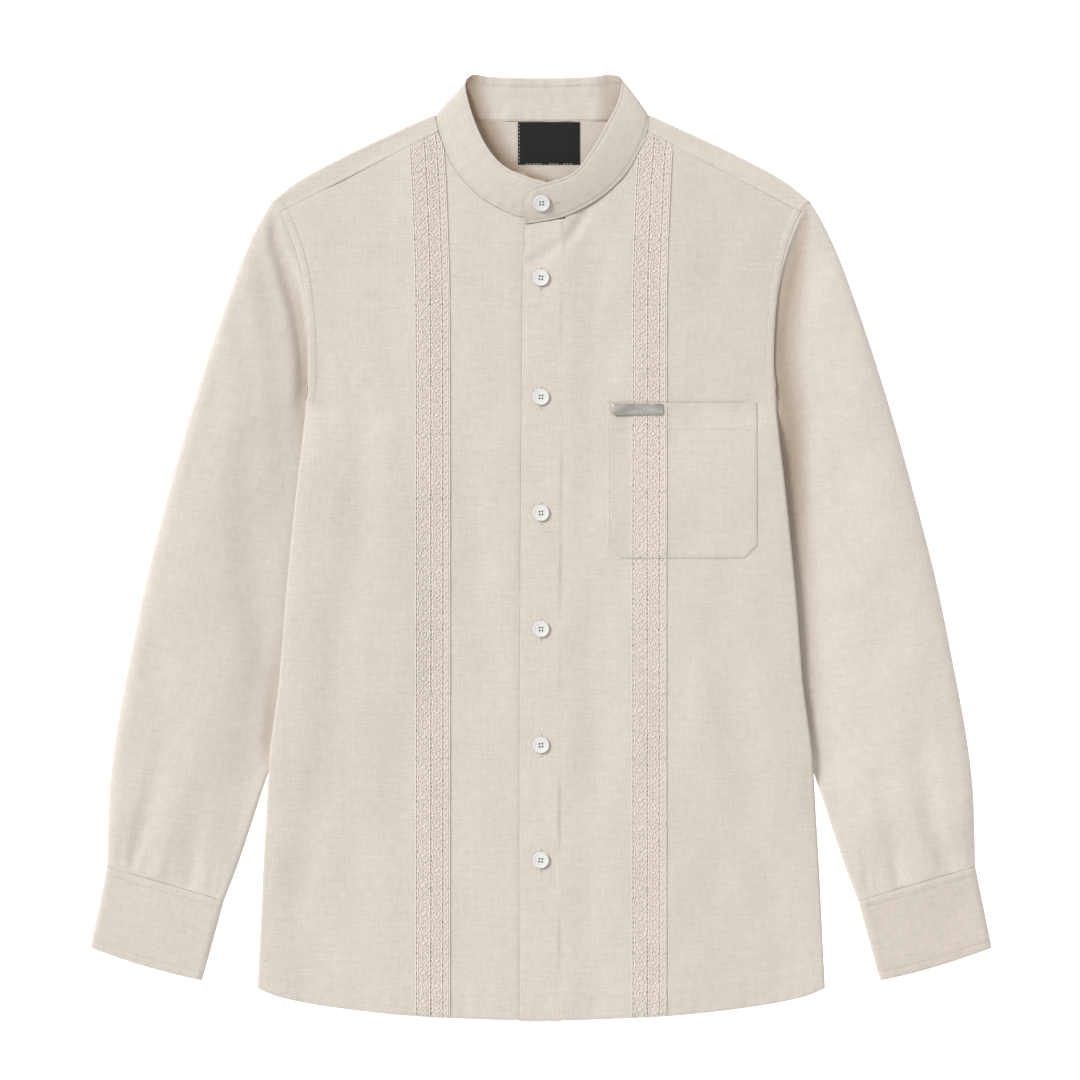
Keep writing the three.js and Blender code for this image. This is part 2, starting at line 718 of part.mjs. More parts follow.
function buttonSolid() {
  const { radius, thick, dish, hole, holeAt } = BUTTON;
  const profile = [
    [0, 0],
    [radius - 1.2, 0],
    [radius, 0.8],
    [radius, thick - 0.6],
    [radius - 0.6, thick],
    [radius - 1.8, thick],
    [radius - 2.6, thick - dish],
    [0, thick - dish],
  ];
  const section = new wasm.CrossSection([profile]);
  let solid = section.revolve(18);
  for (const [sx, sy] of [[1, 1], [1, -1], [-1, 1], [-1, -1]]) {
    const pin = wasm.Manifold.cylinder(thick * 2, hole, hole, 6, true).translate([
      (sx * holeAt) / 1.4,
      (sy * holeAt) / 1.4,
      thick / 2,
    ]);
    solid = solid.subtract(pin);
  }
  const made = solid.getMesh();
  const geometry = new THREE.BufferGeometry();
  const xyz = [];
  for (let i = 0; i < made.numVert; i += 1) {
    for (let k = 0; k < 3; k += 1) xyz.push(made.vertProperties[i * made.numProp + k]);
  }
  geometry.setAttribute("position", new THREE.Float32BufferAttribute(xyz, 3));
  geometry.setIndex([...made.triVerts]);
  return geometry;
}

const BUTTONS = [
  // x, y
  [0.6, 292],
  [0, 229.1],
  [0, 127.9],
  [0, 29.3],
  [0, -69.3],
  [0, -167.9],
  [-0.2, -265.6],
];

// ---- assembly ----
const COLOURS = {
  cloth: [0.72, 0.65, 0.58],
  collar: [0.72, 0.65, 0.58],
  lace: [0.7, 0.62, 0.54],
  metal: [0.42, 0.4, 0.37],
  label: [0.02, 0.02, 0.02],
  pearl: [0.72, 0.71, 0.69],
};

function material(kind) {
  const [r, g, b] = COLOURS[kind];
  return new THREE.MeshStandardMaterial({
    color: new THREE.Color(r, g, b),
    roughness: kind === "metal" ? 0.35 : kind === "pearl" ? 0.3 : 0.9,
    metalness: kind === "metal" ? 1 : 0,
  });
}

const shirt = new THREE.Group();
function add(name, geometry, kind) {
  const mesh = new THREE.Mesh(geometry, material(kind));
  mesh.name = name;
  shirt.add(mesh);
  return mesh;
}

const frontRight = frontGrid(-1);
const frontLeft = frontGrid(1);
add("back", shell([backGrid()], CLOTH, -1), "cloth");
add("yoke", shell(yokeGrids(), CLOTH, 1), "cloth");
add("front_right", shell([frontRight], CLOTH, -1), "cloth");
add("front_left", shell([frontLeft], CLOTH, 1), "cloth");
add("placket", shell([placketGrid()], CLOTH, 1), "cloth");
add("collar_band", shell([collarGrid()], BAND, 1), "collar");
for (const [name, side] of [["right", -1], ["left", 1]]) {
  add("sleeve_" + name, shell([sleeveGrid(side)], CLOTH, side), "cloth");
  add("cuff_" + name, shell([cuffGrid(side)], BAND, side), "cloth");
}
const trimRight = movedOut(columnsFrom(frontRight, TRIM_COLUMNS), -1, SEAM + LACE);
const trimLeft = movedOut(columnsFrom(frontLeft, TRIM_COLUMNS), 1, SEAM + LACE);
add("trim_right", shell([trimRight], LACE, -1), "lace");
add("trim_left", shell([trimLeft], LACE, 1), "lace");
const pocket = pocketParts(frontLeft);
add("pocket", shell([pocket.face], CLOTH, 1), "cloth");
add("pocket_trim", shell([pocket.trim], LACE, 1), "lace");
const tabZ = Math.max(...pocket.trim.flat().map((p) => p[2])) + SEAM;
add("pocket_tab", plate(TAB.left, TAB.right, TAB.bottom, TAB.top, tabZ, TAB.thick), "metal");
add(
  "neck_label",
  plate(LABEL.left, LABEL.right, LABEL.bottom, LABEL.top, CLOTH + SEAM, LABEL.thick),
  "label",
);
BUTTONS.forEach(([x, y], i) => {
  const button = add("button_" + (i + 1), buttonSolid(), "pearl");
  button.position.set(x, y, BODY_THICK + UNDER_DROP + SEAM);
  if (i === 0) {
    button.position.set(x, y, 13.3);
    button.rotation.x = Math.atan2(9.3, 30.6);
  }
});
shirt.position.set(GROUP_SHIFT.x, GROUP_SHIFT.y, GROUP_SHIFT.z);

export default shirt;
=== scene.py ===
"""Looks of the koko shirt, laid flat with its front up. Sizes are in millimetres in the shirt's own
frame (X across, Y from hem to neck, Z up) and become metres when a mesh is made."""

import functools
import json
import math

import bpy
import numpy as np
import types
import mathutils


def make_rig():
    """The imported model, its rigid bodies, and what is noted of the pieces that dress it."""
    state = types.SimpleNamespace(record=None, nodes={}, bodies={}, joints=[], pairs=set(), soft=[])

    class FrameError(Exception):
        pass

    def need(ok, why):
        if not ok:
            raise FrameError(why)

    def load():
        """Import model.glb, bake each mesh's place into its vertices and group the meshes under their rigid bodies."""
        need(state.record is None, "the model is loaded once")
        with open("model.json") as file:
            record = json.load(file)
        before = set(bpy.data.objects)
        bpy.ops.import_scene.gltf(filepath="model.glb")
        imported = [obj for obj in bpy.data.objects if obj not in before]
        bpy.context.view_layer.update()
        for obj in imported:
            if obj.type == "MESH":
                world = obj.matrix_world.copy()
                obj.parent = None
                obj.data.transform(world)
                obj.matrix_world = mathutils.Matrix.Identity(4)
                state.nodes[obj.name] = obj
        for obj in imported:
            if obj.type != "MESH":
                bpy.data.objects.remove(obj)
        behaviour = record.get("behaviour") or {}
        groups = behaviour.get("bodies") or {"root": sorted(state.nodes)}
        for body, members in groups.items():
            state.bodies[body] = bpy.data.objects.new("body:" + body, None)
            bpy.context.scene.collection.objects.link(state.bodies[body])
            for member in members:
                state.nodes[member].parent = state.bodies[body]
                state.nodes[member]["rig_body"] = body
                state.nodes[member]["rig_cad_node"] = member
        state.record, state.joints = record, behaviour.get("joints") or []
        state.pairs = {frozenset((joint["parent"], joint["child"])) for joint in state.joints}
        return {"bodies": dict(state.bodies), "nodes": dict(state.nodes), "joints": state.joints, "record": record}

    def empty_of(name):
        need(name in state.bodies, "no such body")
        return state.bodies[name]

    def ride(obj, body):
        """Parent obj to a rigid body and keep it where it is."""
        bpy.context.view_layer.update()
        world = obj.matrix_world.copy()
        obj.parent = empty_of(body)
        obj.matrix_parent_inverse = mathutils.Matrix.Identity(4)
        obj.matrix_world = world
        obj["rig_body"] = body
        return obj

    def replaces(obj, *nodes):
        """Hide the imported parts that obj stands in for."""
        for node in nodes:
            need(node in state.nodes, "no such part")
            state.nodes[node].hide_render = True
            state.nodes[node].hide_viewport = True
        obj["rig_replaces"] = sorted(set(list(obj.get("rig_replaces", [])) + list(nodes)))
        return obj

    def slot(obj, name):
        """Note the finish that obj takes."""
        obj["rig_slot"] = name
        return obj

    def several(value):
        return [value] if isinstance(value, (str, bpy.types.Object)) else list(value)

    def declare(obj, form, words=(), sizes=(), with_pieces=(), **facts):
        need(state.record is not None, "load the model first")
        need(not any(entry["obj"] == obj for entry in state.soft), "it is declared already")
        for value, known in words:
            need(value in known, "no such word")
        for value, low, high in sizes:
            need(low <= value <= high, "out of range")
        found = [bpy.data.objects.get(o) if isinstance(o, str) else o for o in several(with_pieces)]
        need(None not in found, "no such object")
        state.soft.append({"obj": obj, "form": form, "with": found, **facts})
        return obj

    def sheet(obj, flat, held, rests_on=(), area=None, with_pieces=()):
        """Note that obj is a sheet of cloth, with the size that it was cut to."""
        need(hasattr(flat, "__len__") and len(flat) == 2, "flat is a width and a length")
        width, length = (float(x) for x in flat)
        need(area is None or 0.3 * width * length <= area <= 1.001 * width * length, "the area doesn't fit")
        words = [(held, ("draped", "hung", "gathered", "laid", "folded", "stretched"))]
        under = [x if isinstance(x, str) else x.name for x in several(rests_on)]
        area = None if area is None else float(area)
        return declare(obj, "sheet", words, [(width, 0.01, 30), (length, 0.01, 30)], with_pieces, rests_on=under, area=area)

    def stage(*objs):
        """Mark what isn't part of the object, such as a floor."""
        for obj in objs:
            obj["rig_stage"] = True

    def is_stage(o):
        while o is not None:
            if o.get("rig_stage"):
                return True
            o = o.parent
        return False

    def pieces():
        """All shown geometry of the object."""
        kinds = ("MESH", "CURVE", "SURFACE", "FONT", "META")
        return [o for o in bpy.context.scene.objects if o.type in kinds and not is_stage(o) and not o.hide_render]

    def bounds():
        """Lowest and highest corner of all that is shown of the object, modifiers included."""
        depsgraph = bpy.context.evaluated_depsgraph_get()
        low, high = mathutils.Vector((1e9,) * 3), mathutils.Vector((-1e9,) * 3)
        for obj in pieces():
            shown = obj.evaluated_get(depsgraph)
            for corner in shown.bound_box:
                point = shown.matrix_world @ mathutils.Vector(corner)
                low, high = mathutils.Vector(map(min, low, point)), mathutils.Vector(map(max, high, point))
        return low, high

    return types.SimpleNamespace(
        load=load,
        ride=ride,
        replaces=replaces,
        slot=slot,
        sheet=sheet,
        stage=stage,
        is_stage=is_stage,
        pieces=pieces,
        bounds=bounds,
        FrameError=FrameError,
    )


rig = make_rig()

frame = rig.load()
cad_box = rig.bounds()
SIZE_FILE = "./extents.json"

# ---- driving sizes, as in the CAD ----
MM = 0.001
SHIFT_Y = -0.1  # puts the middle of the underside at the origin
CLOTH = 1.1
BAND = 1.6
LACE = 0.8
SEAM = 0.3
GAP = -0.06  # sewn edges run this far into each other, so no gap shows
BODY_THICK = 5.0
SLEEVE_THICK = 6.0
TUCK_THICK = 3.0
TUCK_CLEAR = 0.9
SIDE_ROUND = BODY_THICK / 2
UNDERARM_Y = 125.4
HEM_HALF = 241.4
BACK_HEM_RISE = 1.5
BACK_YOKE_Y = 279.0
UNDER_EDGE = 15.0
UNDER_DROP = 1.5
UNDER_DROP_WIDTH = 26.0
TUCK_MARGIN = 15.0
LIFT_RAMP = 105.0
SIDE_SWELL = 4.2  # how much the body's sides stand proud where they lie over a sleeve
LEVEL_TOP = 236.0  # the fronts' rows are level up to here and fan round to the yoke seam above it
HEM_LOW = -402.0
HEM_STITCH = 27.0  # height of the hem's stitch line
ARM_STITCH = 6.4  # armhole topstitch, in from the seam
CUFF_STITCH = 7.0
POCKET_HEM = 23.8
TRIM_HALF = 14.8
POCKET = {"left": 56.5, "right": 183.4, "top": 123.7, "bottom": -9.2, "chamfer": 11.0}
TAB = {"left": 60.4, "right": 104.1, "bottom": 112.6, "top": 122.0, "thick": 1.0}
LABEL = {"left": -19.6, "right": 33.1, "bottom": 326.0, "top": 362.2, "thick": 0.6}
BUTTON = {"radius": 7.0, "thick": 2.3, "dish": 0.7, "hole": 0.84}
HOLE_STEP = 1.7 / 1.4  # a hole's place from the button's middle, both ways
BAND_WIDTH = 34.0
YOKE_SEAM = 148.0  # length of the front yoke seam on one side
TRIM_PLACE = 92.0  # of a trim's middle near the hem
ROLL_END = 127.4  # the sides are rolled edges below this height and sewn ones above it

# ---- tables ----
SIDE = [  # y, x of the side edge
    (-374.4, 241.4), (-325, 239), (-283, 237), (-240, 234.5), (-198, 232), (-170, 230), (-138, 226),
    (-112, 222.5), (-87, 220.5), (-36, 216.5), (15, 211.5), (66, 206), (91, 203), (125.4, 199.8),
]
ARMHOLE = [  # y, x of the armhole seam
    (125.4, 199.8), (146, 198.2), (168, 198), (192.5, 199), (215, 201), (237, 204.4), (262.5, 211.7),
    (285, 221.2), (295, 228.6),
]
FRONT_HEM = [  # x, y
    (0, -401.7), (42.5, -401.5), (121.5, -397.4), (190.4, -388.9), (225, -381.2), (241.4, -374.4),
]
SHOULDER = [(228.6, 295), (206, 312.4), (166.6, 333.8), (121, 355.2), (102.6, 363.6)]
YOKE_ARM = (221.2, 285.4)
YOKE_NECK = {1: ((91.0, 353.6), (92.4, 368.2)), -1: ((87.2, 353.8), (90.8, 368.4))}
PLACKET_EDGE = [  # y, x of the placket's free edge
    (-402, -18.7), (-130, -18.7), (100, -17), (246, -15.9), (250, -14.6), (275, -14.4),
]
PLACKET_SEAM = [  # y, x of the seam between placket and front
    (-402, 17), (-130, 17.4), (100, 18.7), (253, 19.2), (281, 20.2),
]
TRIM_CENTRE = [(-402, 92), (210, 92.4), (300, 95), (352, 98)]  # y, x
COLLAR = [  # seam x, y, z, free edge x, y, z
    (14.4, 279.6, 5.0, 21.2, 306.4, 14), (-16.1, 280.9, 5.1, 0, 310.7, 14),
    (-34.9, 288.1, 5.2, -14.4, 315.3, 13.8), (-50.1, 297.1, 5.2, -28.1, 321.3, 13.4),
    (-62.9, 309, 5.2, -39.1, 330.6, 12.8), (-72.2, 320, 5.2, -47.6, 342.6, 12),
    (-79, 331.9, 5.2, -54.4, 356.6, 11), (-83.7, 344.7, 5.2, -59.5, 371, 9.6),
    (-87.5, 355.7, 5, -62.5, 382.1, 8), (-90.1, 362.5, 4.2, -64.1, 388.9, 6.2),
    (-91, 366.3, 2.8, -64.4, 394, 4.4), (-88.8, 367.5, 1.5, -63.5, 398.2, 2.6),
    (-83.3, 365.9, 0.4, -60.8, 401.6, 1), (-73.1, 364.4, 0, -56.1, 402.8, 0.2),
    (-56.9, 363.4, 0, -46.8, 401.5, 0), (-30.6, 363.1, 0, -28.1, 400.3, 0),
    (0, 362.9, 0, 0, 399.9, 0), (30.6, 363.1, 0, 28.1, 400.3, 0),
    (56.9, 363.4, 0, 46.8, 401.5, 0), (73.1, 364.4, 0, 56.1, 402.8, 0.2),
    (85, 365.9, 0.4, 61.6, 402.5, 1), (90.5, 367.5, 1.5, 66.7, 401.2, 2.6),
    (92.6, 366.3, 2.8, 68.8, 397.4, 4.4), (92.4, 362.5, 4.2, 68.3, 391.4, 6.2),
    (91, 354.9, 5.1, 66.5, 382.9, 8), (87.5, 344.7, 5.3, 62.9, 373.1, 9.7),
    (80.8, 331.1, 5.6, 55.7, 360, 11.3), (74.8, 320.9, 5.9, 48.4, 346.4, 12.6),
    (66.3, 310.7, 6.3, 39.9, 332.8, 13.7), (55.2, 300.5, 6.7, 31.4, 321.3, 14.8),
    (39.9, 290.3, 7, 21.2, 314.1, 15.6), (19.6, 280.9, 7.1, 9.3, 310.2, 16.2),
    (0, 276.7, 7.1, -0.8, 307.3, 16.4), (-7.6, 275.6, 7.1, -8.5, 303, 16),
    (-13.6, 275, 7.1, -14.4, 292.8, 13),
]
SLEEVE = [  # outer x, y, inner x, y, share of the armhole curve, sag towards the cuff
    (228.6, 295, 199.8, 125.4, 1, 0), (240.4, 275, 199.2, 116, 1, 0),
    (252.5, 248.6, 191, 99, 0.6, 2), (268.2, 206.1, 185, 76, 0.2, 20),
    (282.6, 163.6, 169, 48, 0.1, 13), (302.2, 99.9, 163.5, 5, 0, 6),
    (319.6, 36.1, 171, -38, 0, 2), (335.8, -27.6, 186, -84, 0, 0),
    (348.9, -91.4, 203, -124, 0, 0), (360.8, -155.1, 219, -160, 0, 0),
    (366.6, -200, 232.8, -194, 0, 0), (368.4, -235, 246.6, -236, 0, 0),
    (369.1, -256, 258, -270, 0, 0), (369.5, -271.4, 269.7, -300.6, 0, 0),
]
CUFF = [  # outer x, y, inner x, y
    (369.4, -271.0, 269.6, -300.1),
    (376.2, -304.5, 278.8, -334),
    (383.4, -340, 288.3, -368),
]
TUCK_EDGE = [  # y, x
    (-300, 300), (-236, 246.6), (-194, 232.4), (-160, 219), (-124, 203), (-84, 186), (-38, 171),
    (5, 163.5), (48, 169), (76, 185), (104, 210), (126, 241), (150, 248),
]
# Folds are soft troughs (negative) and ridges, by side. Each is a line of points (x, y, half width,
# height), with x away from the shirt's middle.
FRONT_FOLDS = {
    -1: [
        [(149, 125, 18, 0), (150, 108, 26, -1.5), (162, -45, 28, -1.95), (178, -130, 28, -1.95),
         (188, -215, 26, -1.5), (207, -300, 20, -0.9), (214, -345, 16, 0)],
        [(118, 10, 24, 0), (121, -87, 32, 1.35), (132, -180, 30, 0.9), (150, -260, 22, 0)],
        [(60, 180, 22, 0), (56, 60, 28, -0.6), (52, -90, 28, -0.75), (60, -230, 24, 0)],
        [(150, 260, 22, 0), (140, 200, 26, -0.75), (120, 140, 22, 0)],
        [(192, 196, 12, 0), (186, 150, 14, -1.35), (178, 100, 16, -0.9), (172, 60, 14, 0)],
    ],
    1: [
        [(160, 20, 20, 0), (158, -60, 28, -1.2), (176, -220, 28, -1.5), (196, -320, 22, -0.6),
         (204, -350, 14, 0)],
        [(128, -60, 22, 0), (134, -160, 30, 0.9), (150, -260, 24, 0)],
        [(52, -20, 20, 0), (50, -140, 28, -0.75), (56, -280, 22, 0)],
        [(160, 250, 22, 0), (140, 195, 24, -0.6), (126, 150, 18, 0)],
        [(40, 290, 4, 0), (36, 281, 7, -1.95), (28, 268, 8, -2.1), (21, 258, 7, -0.9), (19, 250, 5, 0)],
        [(56, 250, 8, 0), (48, 215, 12, -0.75), (44, 170, 10, 0)],
    ],
}
PLACKET_FOLDS = {
    1: [
        [(-17, 238, 6, 0), (-8, 243, 9, -1.2), (6, 250, 9, -1.5), (19, 260, 8, -0.6)],
        [(-13, 270, 4, -0.6), (4, 272, 4, -0.3), (12, 274, 4, 0)],
        [(-14, 196, 6, 0), (2, 204, 9, -0.35), (14, 206, 6, 0)],
    ],
}
SLEEVE_FOLDS = {
    -1: [
        [(230.6, 292, 3, -1.2), (229.6, 280, 6, -3.2), (225, 256, 9, -4.2), (216, 236, 11, -4.6),
         (208, 212, 13, -4.8), (202, 186, 13, -4.6), (199.5, 160, 11, -4.2), (200.5, 128, 11, -3.6),
         (202, 98, 13, -2.4), (200, 70, 13, 0)],
        [(250, 262, 8, 0), (250, 240, 12, 0.9), (244, 200, 16, 1.2), (236, 150, 16, 1.0),
         (232, 100, 14, 0)],
        [(252, 110, 18, 0), (249, 83, 24, -1.6), (249, 20, 26, -2.2), (246, -45, 24, -1.8),
         (236, -110, 20, -0.8), (228, -135, 14, 0)],
        [(286, 60, 20, 0), (300, -30, 26, 1.0), (310, -110, 24, 0.6), (318, -160, 18, 0)],
        [(346, -266, 9, -1.8), (338, -238, 12, -1.9), (326, -192, 16, -1.2), (318, -150, 16, 0)],
        [(300, -284, 10, -2.0), (297, -262, 12, -1.8), (290, -215, 16, -0.9), (284, -170, 16, 0)],
        [(324, -276, 8, 0.9), (316, -240, 12, 1.1), (306, -190, 14, 0)],
        [(266, 190, 20, 0), (262, 150, 24, 0.8), (262, 100, 18, 0)],
        [(334, -60, 14, 0), (320, -130, 18, -0.8), (310, -170, 16, 0)],
    ],
    1: [
        [(227, 291, 3, -1.2), (224, 282, 6, -3.2), (217.5, 260, 9, -4.4), (211, 236, 12, -4.8),
         (203.5, 207, 15, -5.0), (198.5, 184, 18, -5.0), (198, 156, 19, -4.8), (201, 122, 20, -4.4),
         (204, 88, 18, -2.6), (200, 60, 16, 0)],
        [(256, 110, 18, 0), (262, 60, 24, -1.0), (270, -20, 26, -1.2), (280, -90, 22, -0.7),
         (286, -130, 16, 0)],
        [(290, 90, 20, 0), (306, 0, 24, 1.0), (318, -80, 22, 0.8), (326, -120, 16, 0)],
        [(318, -110, 14, 0), (323, -171, 16, -1.4), (334, -240, 14, -2.0), (348, -274, 10, -2.0)],
        [(306, -290, 9, -1.8), (300, -258, 12, -1.6), (290, -205, 16, -0.8), (286, -160, 16, 0)],
        [(328, -276, 9, 0.9), (316, -236, 12, 1.0), (304, -190, 14, 0)],
        [(270, 180, 20, 0), (272, 130, 22, 0.7), (276, 80, 18, 0)],
    ],
}
# Painted shade in the hollows where a sleeve goes in beside the body, which are deeper in a filled sleeve than
# in a flat one. Each is a line of points (x, y, half width, share of the light taken).
PAINTED_HOLLOW_SHADE = {
    -1: [
        [(229, 284, 4, 0.04), (228.6, 275, 7, 0.08), (219, 228, 11, 0.13), (209, 200, 13, 0.2),
         (206, 175, 14, 0.24), (203, 140, 14, 0.33), (205, 108, 12, 0.22), (208, 70, 11, 0)],
        [(222, -60, 8, 0), (229, -112, 9, 0.14), (234, -163, 8, 0.26), (236, -190, 6, 0)],
    ],
    1: [
        [(226, 287, 4, 0.2), (225, 274, 8, 0.3), (219, 252, 12, 0.42), (213, 227, 17, 0.45),
         (208, 202, 22, 0.42), (203, 175, 24, 0.48), (206, 140, 24, 0.47), (211, 108, 24, 0.46),
         (213, 74, 21, 0.52), (217, 23, 18, 0.42), (221, -45, 17, 0.2), (227, -112, 15, 0.2),
         (227, -163, 12, 0.18), (229, -190, 8, 0)],
    ],
}
BUTTONS = [  # x, y
    (0.6, 292), (0, 229.1), (0, 127.9), (0, 29.3), (0, -69.3), (0, -167.9), (-0.2, -265.6),
]
COLLAR_BUTTON_Z = 13.3
COLLAR_TILT = math.atan2(9.3, 30.6)

HANDS = ((-1, "right"), (1, "left"))
SHARP_EDGE = 50.0  # degrees from which an edge is shaded sharp
rng = np.random.default_rng(7)


# ---- small maths ----
def smooth(t):
    c = np.clip(t, 0, 1)
    return c * c * (3 - 2 * c)


def bell(d, width):
    return np.exp(-((d / width) ** 2))


def through(keys, values, at):
    """Values at `at` on a smooth cubic through the rows of values given at keys."""
    keys = np.asarray(keys, float)
    values = np.asarray(values, float)
    at = np.clip(np.asarray(at, float), keys[0], keys[-1])
    last = len(keys) - 1
    k = np.clip(np.searchsorted(keys, at, side="right") - 1, 0, last - 1)
    before = np.maximum(np.arange(last + 1) - 1, 0)
    after = np.minimum(np.arange(last + 1) + 1, last)
    extra = (1,) * (values.ndim - 1)
    slope = (values[after] - values[before]) / (keys[after] - keys[before]).reshape(-1, *extra)
    h = np.reshape(keys[k + 1] - keys[k], at.shape + extra)
    t = np.reshape(at - keys[k], at.shape + extra) / h
    return (
        values[k] * (2 * t**3 - 3 * t**2 + 1)
        + slope[k] * h * (t**3 - 2 * t**2 + t)
        + values[k + 1] * (3 * t**2 - 2 * t**3)
        + slope[k + 1] * h * (t**3 - t**2)
    )


def read(table, key):
    rows = np.array(table, float)
    return through(rows[:, 0], rows[:, 1], key)


def lengths_of(points):
    steps = np.linalg.norm(np.diff(points, axis=0), axis=1)
    return np.concatenate([[0], np.cumsum(steps)])


def along(points, at):
    """Points of a polyline at distances along it."""
    points = np.asarray(points, float)
    s = lengths_of(points)
    return np.stack([np.interp(at, s, points[:, k]) for k in range(points.shape[1])], -1)


def curve(points, count=200):
    """A smooth curve through points, as evenly spaced points."""
    points = np.asarray(points, float)
    s = lengths_of(points)
    dense = through(s, points, np.linspace(0, s[-1], count * 4))
    total = lengths_of(dense)[-1]
    return along(dense, np.linspace(0, total, count))


def folds(table, side, x, y):
    """Height that a table's folds add at points of one half."""
    z = np.zeros(np.broadcast(x, y).shape)
    for points in table.get(side, ()):
        best = np.full(z.shape, 9.0)
        height = np.zeros(z.shape)
        for (x1, y1, w1, h1), (x2, y2, w2, h2) in zip(points, points[1:]):
            dx, dy = x2 - x1, y2 - y1
            t = np.clip(((x - x1) * dx + (y - y1) * dy) / (dx * dx + dy * dy), 0, 1)
            reach = np.hypot(x - x1 - t * dx, y - y1 - t * dy) / (w1 + (w2 - w1) * t)
            nearer = reach < best
            best = np.where(nearer, reach, best)
            height = np.where(nearer, h1 + (h2 - h1) * t, height)
        z += height * (1 + np.cos(np.pi * np.minimum(best, 1))) / 2
    return z


def ripple(x, y, seed, size=0.22):
    """Small unevenness of cloth that lies flat."""
    waves = np.random.default_rng(seed)
    z = np.zeros(np.broadcast(x, y).shape)
    for _ in range(9):
        turn = waves.uniform(0, 2 * np.pi)
        length = waves.uniform(38, 130)
        phase = waves.uniform(0, 2 * np.pi)
        reach = (x * math.cos(turn) + y * math.sin(turn)) * 2 * np.pi / length
        bend = 0.9 * np.sin(y / waves.uniform(50, 120) + phase)
        z += size * waves.uniform(0.3, 1) * np.sin(reach + phase + bend)
    return z


def pucker(s, seed, size=0.18):
    """Fine waves along a sewn line, by the distance s along it."""
    r = np.random.default_rng(seed)
    z = 0
    for length in (9.5, 14.0, 23.0):
        phase = r.uniform(0, 6.28)
        z = z + np.sin(2 * np.pi * s / length + phase + 1.3 * np.sin(s / (length * 2.7) + phase))
    return size * z / 2


def edge_x(y):
    y = np.asarray(y, float)
    return np.where(y < UNDERARM_Y, read(SIDE, y), read(ARMHOLE, y))


def hem_y(x):
    return read(FRONT_HEM, np.abs(x))


def lift_at(x, y):
    """The body's sides ride over the tucked sleeves, and swell along them as a soft fold."""
    start = read(TUCK_EDGE, y) - TUCK_MARGIN - LIFT_RAMP
    ride = (TUCK_THICK + TUCK_CLEAR) * smooth((np.abs(x) - start) / LIFT_RAMP) * smooth((124 - y) / 26)
    along_side = smooth((y + 235) / 70) * smooth((126 - y) / 60)
    return ride + SIDE_SWELL * along_side * smooth((np.abs(x) - edge_x(y) + 122) / 120)


def side_roll(x, y, out):
    """How far a face draws in at the rolled side edge, by the distance in from it."""
    rolled = smooth((ROLL_END - y) / 16)
    reach = np.clip((SIDE_ROUND - out) / SIDE_ROUND, 0, 0.985)
    return SIDE_ROUND * rolled * (1 - np.sqrt(1 - reach**2)) * 0.86


def hem_relief(x, y):
    """The turned hem is thicker, dips at its stitches and waves a little."""
    hem = hem_y(x)
    d = (y - hem) * (LEVEL_TOP - HEM_LOW) / (LEVEL_TOP - hem)  # height above the hem, in the fronts' rows
    turned = 0.45 * (1 - smooth((d - HEM_STITCH + 0.2) / 1.6))
    dip = -0.3 * bell(d - HEM_STITCH, 0.8)
    edge = -0.5 * bell(d, 0.7)
    wave = pucker(x, 3, 0.22) * (1 - smooth((d - 8) / 34))
    return turned + dip + edge + wave


def front_z(side, x, y):
    """Outer face of a front, without what belongs to its edges."""
    step = UNDER_DROP * (1 - smooth((x - 20) / UNDER_DROP_WIDTH)) if side > 0 else 0
    z = BODY_THICK + lift_at(x, y) + step
    z = z + folds(FRONT_FOLDS, side, x, y)
    return z + ripple(x, y, 10 + side) + hem_relief(x, y)


def yoke_line(side, x):
    """Height of the front yoke seam at a distance x from the centre."""
    a, b = YOKE_ARM, YOKE_NECK[side][0]
    slope = (b[1] - a[1]) / (b[0] - a[0])
    return a[1] + (x - a[0]) * slope


# ---- meshes ----
def to_world(points):
    return (np.asarray(points, float) + [0, SHIFT_Y, 0]) * MM


def unit(vectors):
    return vectors / np.maximum(np.linalg.norm(vectors, axis=-1, keepdims=True), 1e-9)


def linked(name, data):
    made = bpy.data.objects.new(name, data)
    bpy.context.scene.collection.objects.link(made)
    return made


def new_object(name, verts, faces, uv, material, sharp=None):
    """A smooth-shaded mesh; no point goes below the surface that the shirt lies on."""
    verts = np.array(verts, float)
    verts[:, 2] = np.maximum(verts[:, 2], 0)
    mesh = bpy.data.meshes.new(name)
    mesh.from_pydata(to_world(verts), [], faces)
    mesh.uv_layers.new(name="UVMap").data.foreach_set("uv", np.asarray(uv, np.float32).ravel())
    mesh.validate()
    mesh.shade_smooth()
    if sharp:
        mesh.set_sharp_from_angle(angle=math.radians(sharp))
    mesh.materials.append(material)
    return linked(name, mesh)


def corner_uv(verts, faces):
    """Cloth places of every face corner, straight from above."""
    return verts[[v for face in faces for v in face], :2] * MM


def points_of(piece):
    """Places of a piece's vertices, in mm from the world's origin."""
    flat = np.empty(len(piece.data.vertices) * 3)
    piece.data.vertices.foreach_get("co", flat)
    return flat.reshape(-1, 3) / MM


def paint_shade(piece, share, name="painted_shade"):
    """Paints shade: stores at each vertex the share of light that painted shade takes, in a dip or along a thin line;
    share(x, y, z) is in mm.
    """
    x, y, z = points_of(piece).T
    taken = piece.data.attributes.new(name, "FLOAT", "POINT")
    taken.data.foreach_set("value", np.asarray(share(x, y - SHIFT_Y, z), np.float32))


def normals_of(grid, wrap=False):
    """Unit normals of a grid; they point up where columns run to +X and rows to +Y."""
    along_cols = np.roll(grid, -1, 1) - np.roll(grid, 1, 1) if wrap else np.gradient(grid, axis=1)
    return unit(np.cross(along_cols, np.gradient(grid, axis=0)))


